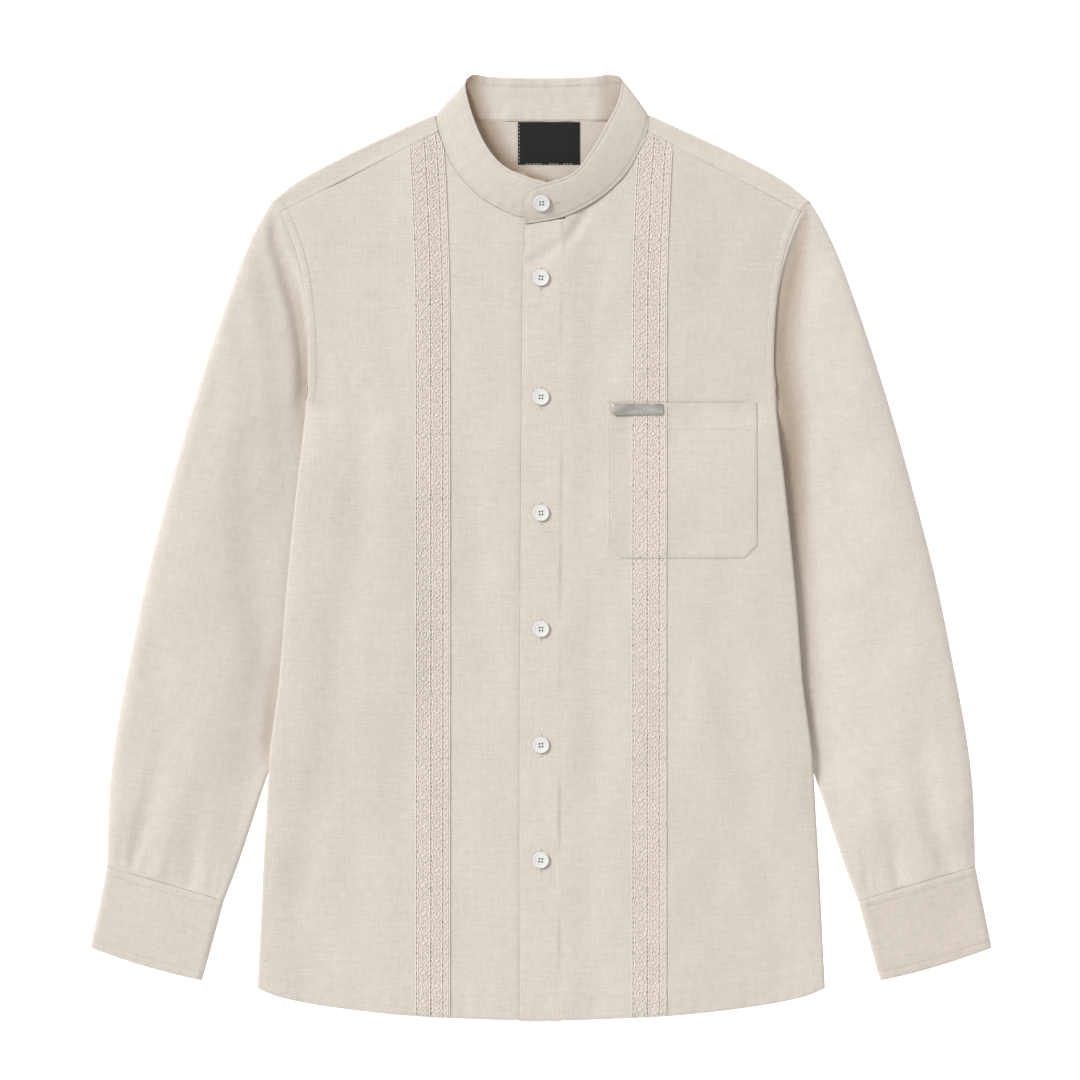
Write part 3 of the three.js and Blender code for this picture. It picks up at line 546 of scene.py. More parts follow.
def shell(name, grid, wall, material, uv, flip=False, wrap=False):
    """A closed thin wall on a grid of outer points. uv is given at each column, and at one more
    where the grid wraps."""
    rows, cols = grid.shape[:2]
    normal = normals_of(grid, wrap) * (-1 if flip else 1)
    depth = np.broadcast_to(np.asarray(wall, float), (rows, cols))[..., None]
    verts = np.concatenate([grid.reshape(-1, 3), (grid - normal * depth).reshape(-1, 3)])
    count = rows * cols
    spans = cols if wrap else cols - 1
    i, j = np.meshgrid(np.arange(rows - 1), np.arange(spans), indexing="ij")
    i, j = i.ravel(), j.ravel()
    corners = [(i, j), (i, j + 1), (i + 1, j + 1), (i + 1, j)]
    quad = np.stack([a * cols + b % cols for a, b in corners], -1)
    width = uv.shape[1]
    quad_uv = np.stack([a * width + b for a, b in corners], -1)
    faces = [quad, quad[:, ::-1] + count]
    flat = uv.reshape(-1, 2)
    uvs = [flat[quad_uv], flat[quad_uv[:, ::-1]]]

    def rim(a, b, ua, ub):
        faces.append(np.stack([b, a, a + count, b + count], -1))
        uvs.append(np.stack([flat[ub], flat[ua], flat[ua], flat[ub]], 1))

    js = np.arange(spans)
    rim(js, (js + 1) % cols, js, js + 1)
    top, top_uv = (rows - 1) * cols, (rows - 1) * width
    rim(top + (js + 1) % cols, top + js, top_uv + js + 1, top_uv + js)
    if not wrap:
        ks, end = np.arange(rows - 1), cols - 1
        rim((ks + 1) * cols, ks * cols, (ks + 1) * width, ks * width)
        rim(ks * cols + end, (ks + 1) * cols + end, ks * width + end, (ks + 1) * width + end)
    faces, uvs = np.concatenate(faces), np.concatenate(uvs)
    if flip:
        faces, uvs = faces[:, ::-1], uvs[:, ::-1]
    return new_object(name, verts, faces.tolist(), uvs.reshape(-1, 2), material, SHARP_EDGE)


def tubes(name, paths, radius, material, sides=5, taper=1.0):
    """Thin threads along paths, as one mesh of closed tubes."""
    verts, faces = [], []
    base = 0
    turns = np.arange(sides) * 2 * np.pi / sides
    for path in paths:
        path = np.asarray(path, float)
        tangent = unit(np.gradient(path, axis=0))
        across = unit(np.cross(tangent, [0, 0, 1.0]))
        up = np.cross(across, tangent)
        size = np.full((len(path), 1), radius)
        size[[0, -1]] *= taper
        ring = across[:, None] * (np.cos(turns) * size)[..., None]
        ring = ring + up[:, None] * (np.sin(turns) * size)[..., None]
        verts.append((path[:, None] + ring).reshape(-1, 3))
        for a in range(len(path) - 1):
            for b in range(sides):
                p, q = base + a * sides + b, base + a * sides + (b + 1) % sides
                faces.append((p, q, q + sides, p + sides))
        end = base + (len(path) - 1) * sides
        faces.append(tuple(range(base, base + sides))[::-1])
        faces.append(tuple(range(end, end + sides)))
        base = end + sides
    verts = np.concatenate(verts)
    return new_object(name, verts, faces, corner_uv(verts, faces), material)


def stitches(line, pitch=2.9, length=2.2, rise=0.16):
    """Short thread paths along a line that lies on the cloth."""
    total = lengths_of(line)[-1]
    made = []
    shape = np.array([-0.12, rise * 0.7, rise, rise * 0.7, -0.12])
    for k in range(int(total / pitch)):
        start = (k + 0.5) * pitch - length / 2 + rng.uniform(-0.12, 0.12)
        path = along(line, np.clip(start + np.linspace(0, 1, 5) * length, 0, total))
        path[:, 2] += shape
        made.append(path)
    return made


# ---- materials ----
def fill(tree, target, inputs):
    """Links sockets to a node's inputs and sets plain values on them."""
    for key, value in inputs.items():
        if isinstance(value, bpy.types.NodeSocket):
            tree.links.new(value, target.inputs[key])
        else:
            target.inputs[key].default_value = value


def new_material(name):
    material = bpy.data.materials.new(name)
    material.use_nodes = True
    tree = material.node_tree
    return material, tree, tree.nodes["Principled BSDF"]


def node(tree, kind, inputs, output=0, **settings):
    """Output socket of a new shader node."""
    made = tree.nodes.new("ShaderNode" + kind)
    for key, value in settings.items():
        setattr(made, key, value)
    fill(tree, made, inputs)
    return made.outputs[output]


def maths(tree, operation, *values, **settings):
    return node(tree, "Math", dict(enumerate(values)), operation=operation, **settings)


def sum_of(tree, *terms):
    """A socket holding the sum of sockets, (socket, weight) pairs and plain numbers."""
    total = None
    for term in terms:
        part = maths(tree, "MULTIPLY", *term) if isinstance(term, tuple) else term
        total = part if total is None else maths(tree, "ADD", total, part)
    return total


def stretched_noise(tree, uv, x, y, detail=2.0, rough=0.5):
    """Noise with x and y features a metre across and along."""
    mapped = node(tree, "Mapping", {"Vector": uv, "Scale": (x, y, 1)})
    return node(tree, "TexNoise", {"Vector": mapped, "Scale": 1.0, "Detail": detail, "Roughness": rough})


def mixed(tree, factor, first, second):
    """Colour between two colours, each a socket or three numbers."""
    ends = [c if isinstance(c, bpy.types.NodeSocket) else (*c, 1) for c in (first, second)]
    return node(tree, "Mix", {0: factor, 6: ends[0], 7: ends[1]}, 2, data_type="RGBA", clamp_factor=True)


def ramp(tree, value, start, end, low, high):
    ends = {"From Min": start, "From Max": end, "To Min": low, "To Max": high}
    return node(tree, "MapRange", {"Value": value, **ends})


def bumped(tree, height, strength, distance, **more):
    return node(tree, "Bump", {"Height": height, "Strength": strength, "Distance": distance, **more})


def scaled(colour, by):
    return tuple(min(c * by, 1) for c in colour)


CLOTH_COLOUR = (0.620, 0.567, 0.507)
THREAD_COLOUR = (0.70, 0.635, 0.575)
LACE_COLOUR = (0.655, 0.598, 0.535)
COLOUR_SPREAD = 0.27  # between the darkest and the mean yarn
PAINTED_SHADE_TINT = (0.3, 0.13, 0.0)  # painted shade: light left of each colour where the painted shade is fullest


def cloth_material(name, colour, slub=1.0, wrinkle=1.0):
    """Linen-look cotton: an open plain weave with thick and thin yarns both ways, darkened by painted shade."""
    material, tree, surface = new_material(name)
    uv = node(tree, "TexCoord", {}, "UV")
    weft = stretched_noise(tree, uv, 95, 560)
    warp = stretched_noise(tree, uv, 560, 80)
    long_weft = stretched_noise(tree, uv, 24, 330, 1.0)
    long_warp = stretched_noise(tree, uv, 260, 9, 1.0)
    grain = stretched_noise(tree, uv, 900, 900)
    cloud = stretched_noise(tree, uv, 16, 12, 3.0)
    shares = ((weft, 0.36), (warp, 0.32), (long_weft, 0.16), (long_warp, 0.1), (grain, 0.4), (cloud, 0.14))
    weighed = [(socket, share * slub) for socket, share in shares]
    factor = sum_of(tree, *weighed, 0.5 - sum(share for _, share in weighed) / 2)
    yarn = mixed(tree, factor, scaled(colour, 1 - COLOUR_SPREAD), scaled(colour, 1 + COLOUR_SPREAD))
    # Painted shade: the yarn colour is darkened, tinted warm, by the share stored at each vertex for hollows, and by
    # the share stored for thin lines.
    painted_shade = node(tree, "Attribute", {}, "Fac", attribute_name="painted_shade")
    painted_line_shade = node(tree, "Attribute", {}, "Fac", attribute_name="painted_line_shade")
    light = mixed(tree, painted_shade, (1, 1, 1), PAINTED_SHADE_TINT)
    shaded = node(tree, "VectorMath", {0: yarn, 1: light}, operation="MULTIPLY")
    left = sum_of(tree, (painted_line_shade, -1.0), 1.0)
    wave = {"Vector": uv, "Scale": 520.0, "Distortion": 0.6}
    waves = [(node(tree, "TexWave", wave, 1, bands_direction=way), 0.5) for way in "XY"]
    fine = bumped(tree, sum_of(tree, *waves, (weft, 1.2), (warp, 0.9)), 0.5, 0.00012)
    soft = stretched_noise(tree, uv, 34, 26, 3.0, 0.55)
    fill(tree, surface, {
        "Base Color": node(tree, "VectorMath", {0: shaded, "Scale": left}, operation="SCALE"),
        "Normal": bumped(tree, soft, 0.6, 0.0011 * wrinkle, Normal=fine),
        "Roughness": sum_of(tree, (cloud, 0.12), 0.84),
        "Specular IOR Level": 0.25,
        "Sheen Weight": 0.12,
        "Sheen Roughness": 0.5,
    })
    return material


def thread_material(name, colour):
    material, tree, surface = new_material(name)
    uv = node(tree, "TexCoord", {}, "UV")
    tone = stretched_noise(tree, uv, 240, 240)
    fill(tree, surface, {
        "Base Color": mixed(tree, tone, scaled(colour, 0.9), scaled(colour, 1.1)),
        "Normal": bumped(tree, stretched_noise(tree, uv, 2400, 1500, 1.0), 0.4, 0.0001),
        "Roughness": 0.7,
        "Sheen Weight": 0.1,
    })
    return material


def hole_column(tree, x, y, at, pitch, half_width, share, phase):
    """1 in a column of small holes at x = at, every pitch along y, and 0 elsewhere."""
    off = maths(tree, "ABSOLUTE", maths(tree, "SUBTRACT", x, at))
    side = ramp(tree, off, half_width, half_width * 1.5, 1.0, 0.0)
    part = maths(tree, "FRACT", sum_of(tree, (y, 1 / pitch), phase))
    part = maths(tree, "ABSOLUTE", maths(tree, "SUBTRACT", part, 0.5))
    return maths(tree, "MULTIPLY", side, ramp(tree, part, share / 2, share / 2 + 0.08, 1.0, 0.0))


# Columns of holes in the lace: place across the band, pitch and half width in mm, open share, phase.
HOLE_COLUMNS = [(-13.6, 4.3, 0.5, 0.45, 0.3), (-1.4, 3.7, 0.55, 0.5, 0.0), (8.6, 4.6, 0.45, 0.42, 0.2)]


def lace_material():
    """Cotton lace band: an open net with columns of holes, which are painted darker as shade. UV is metres from the
    band's middle.
    """
    material, tree, surface = new_material("lace")
    uv = node(tree, "TexCoord", {}, "UV")
    wander = stretched_noise(tree, uv, 60, 60)
    x = sum_of(tree, node(tree, "SeparateXYZ", {0: uv}, 0), (wander, 0.0016), -0.0008)
    y = sum_of(tree, node(tree, "SeparateXYZ", {0: uv}, 1), (wander, 0.004))
    net = node(tree, "TexVoronoi", {"Vector": uv, "Scale": 640.0}, feature="DISTANCE_TO_EDGE")
    mesh_holes = ramp(tree, net, 0.05, 0.4, 0.0, 1.0)
    columns = [
        hole_column(tree, x, y, at * MM, pitch * MM, half * MM, share, phase)
        for at, pitch, half, share, phase in HOLE_COLUMNS
    ]
    dark = maths(tree, "MAXIMUM", maths(tree, "MAXIMUM", columns[0], columns[1]), columns[2])
    tone = stretched_noise(tree, uv, 180, 120, 3.0)
    # The net's holes take a little painted shade in the base colour.
    factor = sum_of(tree, (tone, 0.8), (mesh_holes, -0.25), 0.3)
    base = mixed(tree, factor, scaled(LACE_COLOUR, 0.74), scaled(LACE_COLOUR, 1.04))
    uneven = sum_of(tree, (stretched_noise(tree, uv, 300, 150, 1.0), 2.2), -0.45)
    # Painted shade in the column holes, uneven along them; the same mask sinks them in the bump.
    hole_shade_and_depth = maths(tree, "MULTIPLY", dark, uneven, use_clamp=True)
    height = sum_of(tree, (mesh_holes, -0.4), (hole_shade_and_depth, -1.2), (tone, 0.6))
    fill(tree, surface, {
        "Base Color": mixed(tree, hole_shade_and_depth, base, scaled(LACE_COLOUR, 0.44)),
        "Normal": bumped(tree, height, 0.5, 0.0003),
        "Roughness": 0.85,
        "Specular IOR Level": 0.25,
    })
    return material


def pearl_material():
    material, tree, surface = new_material("pearl")
    place = node(tree, "TexCoord", {}, "Object")
    tone = node(tree, "TexNoise", {"Vector": place, "Scale": 180.0, "Detail": 2.0})
    fill(tree, surface, {
        "Base Color": mixed(tree, tone, (0.65, 0.64, 0.615), (0.79, 0.78, 0.755)),
        "Roughness": sum_of(tree, (tone, 0.1), 0.2),
        "Coat Weight": 0.2,
    })
    return material


def metal_material():
    """Brushed pale metal, with painted reflection as broad light and dark patches in its colour."""
    material, tree, surface = new_material("tab_metal")
    uv = node(tree, "TexCoord", {}, "UV")
    brush = stretched_noise(tree, uv, 120, 4200)
    # Painted reflection: broad light and dark patches, with the brushed streaks in them.
    tone = sum_of(tree, (brush, 0.7), (stretched_noise(tree, uv, 60, 160), 1.6), -0.65)
    fill(tree, surface, {
        "Base Color": mixed(tree, tone, (0.35, 0.325, 0.295), (0.70, 0.665, 0.62)),
        "Normal": bumped(tree, brush, 0.3, 0.00006),
        "Roughness": sum_of(tree, (brush, 0.2), 0.28),
        "Metallic": 1.0,
    })
    return material


def label_material():
    """Black woven satin."""
    material, tree, surface = new_material("label_cloth")
    uv = node(tree, "TexCoord", {}, "UV")
    rib = node(tree, "TexWave", {"Vector": uv, "Scale": 420.0}, 1, bands_direction="Y")
    tone = stretched_noise(tree, uv, 200, 900)
    fill(tree, surface, {
        "Base Color": mixed(tree, tone, (0.008, 0.008, 0.0075), (0.02, 0.02, 0.019)),
        "Normal": bumped(tree, sum_of(tree, (rib, 0.6), (tone, 0.5)), 0.5, 0.00015),
        "Roughness": 0.75,
        "Specular IOR Level": 0.2,
    })
    return material


def floor_material():
    """White floor that glows a little, so that no shadow shows on it."""
    material, tree, surface = new_material("floor")
    place = node(tree, "TexCoord", {}, "Object")
    tone = node(tree, "TexNoise", {"Vector": place, "Scale": 3.0, "Detail": 1.0})
    fill(tree, surface, {
        "Base Color": mixed(tree, tone, (0.93, 0.93, 0.93), (0.95, 0.95, 0.95)),
        "Roughness": 0.9,
        "Specular IOR Level": 0.0,
        "Emission Color": (1, 1, 1, 1),
        "Emission Strength": 0.8,
    })
    return material


cloth = cloth_material("cloth", CLOTH_COLOUR)
collar_cloth = cloth_material("collar_cloth", scaled(CLOTH_COLOUR, 0.985), 0.9, 0.6)
thread = thread_material("thread", scaled(THREAD_COLOUR, 0.9))
lace_thread = thread_material("lace_thread", scaled(THREAD_COLOUR, 1.16))
white_thread = thread_material("white_thread", (0.78, 0.77, 0.75))
lace = lace_material()
pearl = pearl_material()
tab_metal = metal_material()
label_cloth = label_material()


def placed(piece, slot, *nodes):
    """Puts a piece on the root body, in a material slot and in place of CAD nodes."""
    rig.ride(piece, "root")
    if nodes:
        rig.replaces(piece, *nodes)
    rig.slot(piece, slot)
    return piece


def flat_uv(grid, shift=(0, 0)):
    return (grid[..., :2] + np.array(shift, float)) * MM


# ---- fronts ----
LEFT_AT = np.array([0, 0.3, 0.7, 1.2, 1.9, 2.8, 4.2, 6, 8.5])
RIGHT_AT = np.array(
    [0, 0.12, 0.35, 0.7, 1.1, 1.6, 2.2, 2.9, 3.8, 4.8, 5.5, 6.0, 6.4, 6.8, 7.4, 8.4, 10, 12.5]
)
MIDDLE_COLUMNS = 66
HEM_ROWS = np.concatenate(
    [
        [0, 0.2, 0.5, 1, 1.8, 3, 5, 8, 11, 14, 17, 20, 22.5, 24.4, 25.6, 26.3, 27, 27.7, 28.4, 29.6],
        np.arange(32, LEVEL_TOP - HEM_LOW - 1, 3.2),
        [LEVEL_TOP - HEM_LOW],
    ]
)
FAN_ROWS = np.concatenate(
    [np.linspace(0, 0.93, 44)[1:], 1 - np.array([0.05, 0.032, 0.02, 0.012, 0.006, 0.0025, 0])]
)


def neck_line(side):
    """Collar seam from the centre to the yoke seam, moved out by the seam gap."""
    rows = np.array(COLLAR[24:] if side > 0 else COLLAR[:9], float)[:, :2]
    if side > 0:
        rows = rows[::-1]
    points = curve(rows * [side, 1], 60)
    tangent = unit(np.gradient(points, axis=0))
    return points + np.stack([tangent[:, 1], -tangent[:, 0]], -1) * 0.12


def front_outline(side):
    """Inner and outer boundary above the level rows, as polylines."""
    if side > 0:
        start = np.array([[read(PLACKET_SEAM, LEVEL_TOP) + GAP, LEVEL_TOP]])
        bend = np.array([[read(PLACKET_SEAM, 253) + GAP, 254.5]])
        join = np.array([[read(PLACKET_SEAM, 281) + GAP, 280.4]])
        start = np.concatenate([start, bend, join])
    else:
        start = np.array([[-UNDER_EDGE, LEVEL_TOP]])
    seam = np.array(YOKE_NECK[side][0], float)
    arm = np.array(YOKE_ARM, float)
    toward = (arm - seam) / np.linalg.norm(arm - seam)
    down = np.array([toward[1], -toward[0]]) * 0.02
    if down[1] > 0:
        down = -down
    neck = neck_line(side)
    if side > 0:
        neck = neck[neck[:, 0] > 21.5]
    neck = neck[neck[:, 1] < seam[1] + down[1] - 2]
    inner = np.concatenate([start, neck, [seam + down]])
    ys = np.linspace(LEVEL_TOP, 283, 20)
    outer = np.concatenate([np.stack([edge_x(ys), ys], -1), [arm + down + [-0.05, 0]]])
    return inner, outer


def row_shares(length):
    """Places across a row of that length: fixed distances near both ends, even between them."""
    length = np.asarray(length, float)[:, None]
    left = np.broadcast_to(LEFT_AT, (len(length), len(LEFT_AT)))
    right = length - RIGHT_AT[::-1]
    t = np.linspace(0, 1, MIDDLE_COLUMNS + 2)[1:-1]
    middle = left[:, -1:] + (right[:, :1] - left[:, -1:]) * t
    return np.concatenate([left, middle, right], 1)


def front_grid(side):
    d = HEM_ROWS
    y_base = HEM_LOW + d
    y_edge = hem_y(HEM_HALF) + d * (LEVEL_TOP - hem_y(HEM_HALF)) / (LEVEL_TOP - HEM_LOW)
    x0 = read(PLACKET_SEAM, y_base) + GAP if side > 0 else np.full(len(d), -UNDER_EDGE)
    x1 = edge_x(y_edge)
    place = row_shares(x1 - x0)
    x = x0[:, None] + place
    hem = hem_y(x)
    y = hem + d[:, None] * (LEVEL_TOP - hem) / (LEVEL_TOP - HEM_LOW)
    outer_at = (x1 - x0)[:, None] - place
    inner, outer = front_outline(side)
    a = along(inner, FAN_ROWS * lengths_of(inner)[-1])
    b = along(outer, FAN_ROWS * lengths_of(outer)[-1])
    length = np.linalg.norm(b - a, axis=1)
    fan = row_shares(length)
    t = (fan / length[:, None])[..., None]
    p = a[:, None] * (1 - t) + b[:, None] * t
    x = np.concatenate([x, p[..., 0]])
    y = np.concatenate([y, p[..., 1]])
    inner_at = np.concatenate([place, fan])
    outer_at = np.concatenate([outer_at, length[:, None] - fan])
    z = front_z(side, x, y) + front_edges(side, x, y, inner_at, outer_at)
    return np.stack([side * x, y, z], -1)


def front_edges(side, x, y, inner_at, outer_at):
    """Relief that belongs to the edges of a front."""
    rolled = smooth((ROLL_END - y) / 16)
    soften = 0.8 * rolled * bell(outer_at, 7.0)
    allowance = 0.4 * (1 - smooth((outer_at - ARM_STITCH + 0.4) / 1.6))
    sharp = 1 if side > 0 else 1 - 0.75 * smooth((228 - y) / 40)
    dip = 0.36 * sharp * bell(outer_at - ARM_STITCH, 0.8) + 0.6 * bell(outer_at, 0.9)
    wave = pucker(y, 21, 0.14) * bell(outer_at - 3, 6)
    z = (1 - rolled) * (allowance - dip + wave) - soften - side_roll(x, y, outer_at)
    if side > 0:
        z = z - 0.04 * bell(inner_at, 0.6)
    else:
        z = z - 0.2 * bell(inner_at, 0.6) * smooth((y - 270) / 10)
    seam_y = yoke_line(side, x)
    return z - 0.22 * bell((seam_y - y) * 0.885, 0.6) * smooth((x - 60) / 20)


def make_front(side, node_name):
    grid = front_grid(side)
    made = shell("shirt_" + node_name, grid, CLOTH, cloth, flat_uv(grid, (300 * side, 40)), flip=side < 0)
    return placed(made, "cloth", node_name)


front_right = make_front(-1, "front_right")
front_left = make_front(1, "front_left")
# Painted shade: the right front darker beside and under the placket's free edge, the left front darker towards its
# side.
paint_shade(front_right, lambda x, y, z: 0.05 * smooth((x + 28) / 8))
paint_shade(front_left, lambda x, y, z: 0.05 * smooth((x - 40) / 110))


# ---- placket ----
PLACKET_TOP = (274.0, 279.6)  # height of its upper end at the free edge and at the seam


def placket_z(x, y):
    """Outer face of the placket, which comes level with the left front at their seam."""
    z = BODY_THICK + UNDER_DROP + 0.15 + ripple(x, y, 31, 0.1) + hem_relief(x, y) * 0.9
    z = z + folds(PLACKET_FOLDS, 1, x, y)
    for bx, by in BUTTONS[1:]:
        z = z - 0.35 * bell(np.hypot(x - bx, y - by), 10)
    joined = 1 - smooth((read(PLACKET_SEAM, y) - x) / 3.5)
    return (z + pucker(y, 32, 0.12)) * (1 - joined) + front_z(1, x, y) * joined


def placket_grid():
    d = HEM_ROWS[:-1]
    share = np.concatenate([d / (LEVEL_TOP - HEM_LOW) * 0.94, np.linspace(0.945, 1, 16)])
    yb = HEM_LOW + share * (277 - HEM_LOW)
    a, b = read(PLACKET_EDGE, yb), read(PLACKET_SEAM, yb)
    at = np.array([0, 0.12, 0.35, 0.7, 1.2, 1.8, 2.6, 3.6, 5, 7, 9.5, 12, 14.5, 17, 19.5, 22, 25, 28])
    end = np.array([5.2, 3.6, 2.6, 2.0, 1.5, 1.0, 0.6, 0.3, 0])
    width = (b - a)[:, None]
    x = a[:, None] + np.concatenate([at / 28 * (width - 6.6), width - end], 1)
    t = (x - a[:, None]) / width
    low = hem_y(x) - 0.8
    high = PLACKET_TOP[0] + (PLACKET_TOP[1] - PLACKET_TOP[0]) * t
    y = low + share[:, None] * (high - low)
    left, right = x - a[:, None], b[:, None] - x
    z = placket_z(x, y)
    z = z - 0.75 * bell(left, 0.6) - 0.25 * bell(left - 2.4, 0.5)
    z = z - 0.12 * bell(right - 1.5, 0.45) + 0.1 * bell(right - 0.5, 0.7)
    return np.stack([x, y, z], -1)


placket_points = placket_grid()
placket = shell("shirt_placket", placket_points, CLOTH, cloth, flat_uv(placket_points, (40, 900)))
placed(placket, "cloth", "placket")
# Painted shadow: a thin dark line along the placket's free edge.
paint_shade(placket, lambda x, y, z: 0.55 * bell(x - read(PLACKET_EDGE, y), 0.45), "painted_line_shade")


# ---- back and yoke ----
def back_grid():
    ys = np.concatenate([[0, 0.5, 1.2, 2.5, 5], np.arange(9, 676, 6.5)]) / 676
    yb = hem_y(HEM_HALF) + BACK_HEM_RISE + ys * (BACK_YOKE_Y - SEAM - hem_y(HEM_HALF))
    x1 = edge_x(yb)
    end = np.array([9, 6, 4, 2.6, 1.8, 1.1, 0.6, 0.2, 0])
    middle = np.linspace(0, 1, 44)[:-1] * (x1[:, None] - 9.01)
    half = np.concatenate([middle, x1[:, None] - end], 1)
    x = np.concatenate([-half[:, :0:-1], half], 1)
    low = hem_y(x) + BACK_HEM_RISE
    y = low + ys[:, None] * (BACK_YOKE_Y - SEAM - low)
    out = x1[:, None] - np.abs(x)
    return np.stack([x, y, lift_at(x, y) + side_roll(x, y, out)], -1)


back_points = back_grid()
back = shell("shirt_back", back_points, CLOTH, cloth, flat_uv(back_points, (0, 1500)), flip=True)
placed(back, "cloth", "back")

YOKE_SHARES = np.concatenate([[0, 0.004, 0.012, 0.025], np.linspace(0.04, 0.97, 40), [0.985, 1]])
YOKE_FRONT = np.array([0, 0.2, 0.5, 0.9, 1.5, 2.2, 3.2, 4.6, 6.5])


def yoke_side(side):
    """Half of the yoke: from the front seam over the shoulder fold and down to the back seam."""
    r = SIDE_ROUND
    seam_end, fold_end = YOKE_NECK[side]
    shoulder = curve([*SHOULDER, fold_end], 120)
    fold_line = along(shoulder, YOKE_SHARES * lengths_of(shoulder)[-1])
    turns = np.radians(np.linspace(90, -90, 15))
    back_x = read(ARMHOLE, BACK_YOKE_Y)
    columns = []
    for t, fold in zip(YOKE_SHARES, fold_line):
        seam = np.array(YOKE_ARM) * (1 - t) + np.array(seam_end) * t
        length = np.linalg.norm(fold - seam)
        inward = (seam - fold) / length
        flat = length - r
        s = np.concatenate([YOKE_FRONT, np.linspace(YOKE_FRONT[-1], flat, 8)[1:-1]])
        s = s[s < flat] if s[-1] >= flat else s
        s = np.sort(np.concatenate([s, np.linspace(s[-1], flat, 16 - len(s))[1:]])) if len(s) < 15 else s
        z = 2 * r + 0.25 * bell(s - 1.2, 1.6) - 0.22 * bell(s, 0.4)
        off_arm = t * YOKE_SEAM
        arm_dip = 0.8 * bell(off_arm, 0.9) + 0.45 * bell(off_arm - ARM_STITCH, 0.8)
        arm_dip = arm_dip - 0.3 * smooth((ARM_STITCH + 0.4 - off_arm) / 1.6)
        soft = 0.35 * math.sin(t * 7.0) * smooth(s / 8)
        front = np.stack([seam[0] - inward[0] * s, seam[1] - inward[1] * s, z - arm_dip + soft], -1)
        d = r * (1 - np.cos(turns))
        bend = np.stack([fold[0] + inward[0] * d, fold[1] + inward[1] * d, r + r * np.sin(turns)], -1)
        down = np.linspace(0, 1, 15)[1:, None]
        target = np.array([back_x + (78 - back_x) * t, BACK_YOKE_Y])
        lower = bend[-1, :2] * (1 - down) + target * down
        if t == 0:
            lower[:, 0] = edge_x(lower[:, 1])
        under = np.concatenate([lower, np.zeros((len(lower), 1))], 1)
        columns.append(np.concatenate([front, bend, under]))
    grid = np.array(columns)
    grid[..., 0] *= side
    return grid


def yoke_middle(right, left):
    """Back of the yoke between its two neck columns, below the back neck seam."""
    start = right.shape[1] - 15
    ends = right[-1, start, :2], left[-1, start, :2]
    between = [(73.4, 364.7), (56.9, 363.9), (20, 363.5), (-20, 363.5), (-56.9, 363.9), (-73.4, 364.7)]
    seam = curve([ends[0], *between, ends[1]], 40)
    seam[0], seam[-1] = ends
    t = np.linspace(0, 1, len(seam))[:, None, None]
    s = np.linspace(0, 1, 15)[None, :, None]
    x_end = right[-1, -1, 0] * (1 - t) + left[-1, -1, 0] * t
    end = np.concatenate([x_end, np.full_like(x_end, BACK_YOKE_Y)], -1)
    grid = seam[:, None] * (1 - s) + end * s
    grid = np.concatenate([grid, np.zeros((*grid.shape[:2], 1))], -1)
    grid[0], grid[-1] = right[-1, start:], left[-1, start:]
    return grid


def joined_shell(name, grids, wall, material, flips):
    """One closed thin wall on several grids that share edges."""
    verts, faces, index = [], [], {}

    def vertex(p):
        key = tuple(np.round(p, 3))
        if key not in index:
            index[key] = len(verts)
            verts.append(p)
        return index[key]

    for grid, flip in zip(grids, flips):
        ids = [[vertex(p) for p in row] for row in grid]
        for i in range(len(ids) - 1):
            for j in range(len(ids[0]) - 1):
                quad = [ids[i][j], ids[i][j + 1], ids[i + 1][j + 1], ids[i + 1][j]]
                ring = [v for k, v in enumerate(quad) if v != quad[k - 1]]
                if len(ring) > 2:
                    faces.append(ring[::-1] if flip else ring)
    verts = np.array(verts, float)
    normal = np.zeros_like(verts)
    edges = set()
    for face in faces:
        p = verts[face]
        spans = (p[2] - p[0], p[3] - p[1]) if len(face) > 3 else (p[1] - p[0], p[2] - p[0])
        normal[face] += np.cross(*spans)
        edges.update(zip(face, face[1:] + face[:1]))
    count = len(verts)
    everything = np.concatenate([verts, verts - unit(normal) * wall])
    made = faces + [[v + count for v in face[::-1]] for face in faces]
    made += [[b, a, a + count, b + count] for a, b in sorted(edges) if (b, a) not in edges]
    return new_object(name, everything, made, corner_uv(everything, made) + [0.7, 0.3], material, SHARP_EDGE)


yoke_right, yoke_left = yoke_side(1), yoke_side(-1)
yoke_parts = [yoke_right, yoke_middle(yoke_right, yoke_left), yoke_left]
yoke = placed(joined_shell("shirt_yoke", yoke_parts, CLOTH, cloth, [False, False, True]), "cloth", "yoke")


def into_neck(x, y):
    """How far a place lies in from the collar's free edge on the -X side."""
    edge = np.array(COLLAR[1:12], float)
    return x - np.interp(y, edge[:, 4], edge[:, 3])


def yoke_painted_shade(x, y, z):
    """Painted shade that the collar's raised side throws on the yoke inside the neck, and a little all over the yoke
    there.
    """
    d = into_neck(x, y)
    shade = 0.6 * (1 - smooth((d - 4) / 24)) - 0.25 * (1 - smooth(d / 5))
    return (z < 2.4) * smooth((82 - np.abs(x)) / 20) * (0.08 + (d > 0) * shade)


paint_shade(yoke, yoke_painted_shade)


# ---- collar ----
COLLAR_EDGE = 0.4
INNER_STITCH = 7.0  # stitch line on the inside, below the free edge


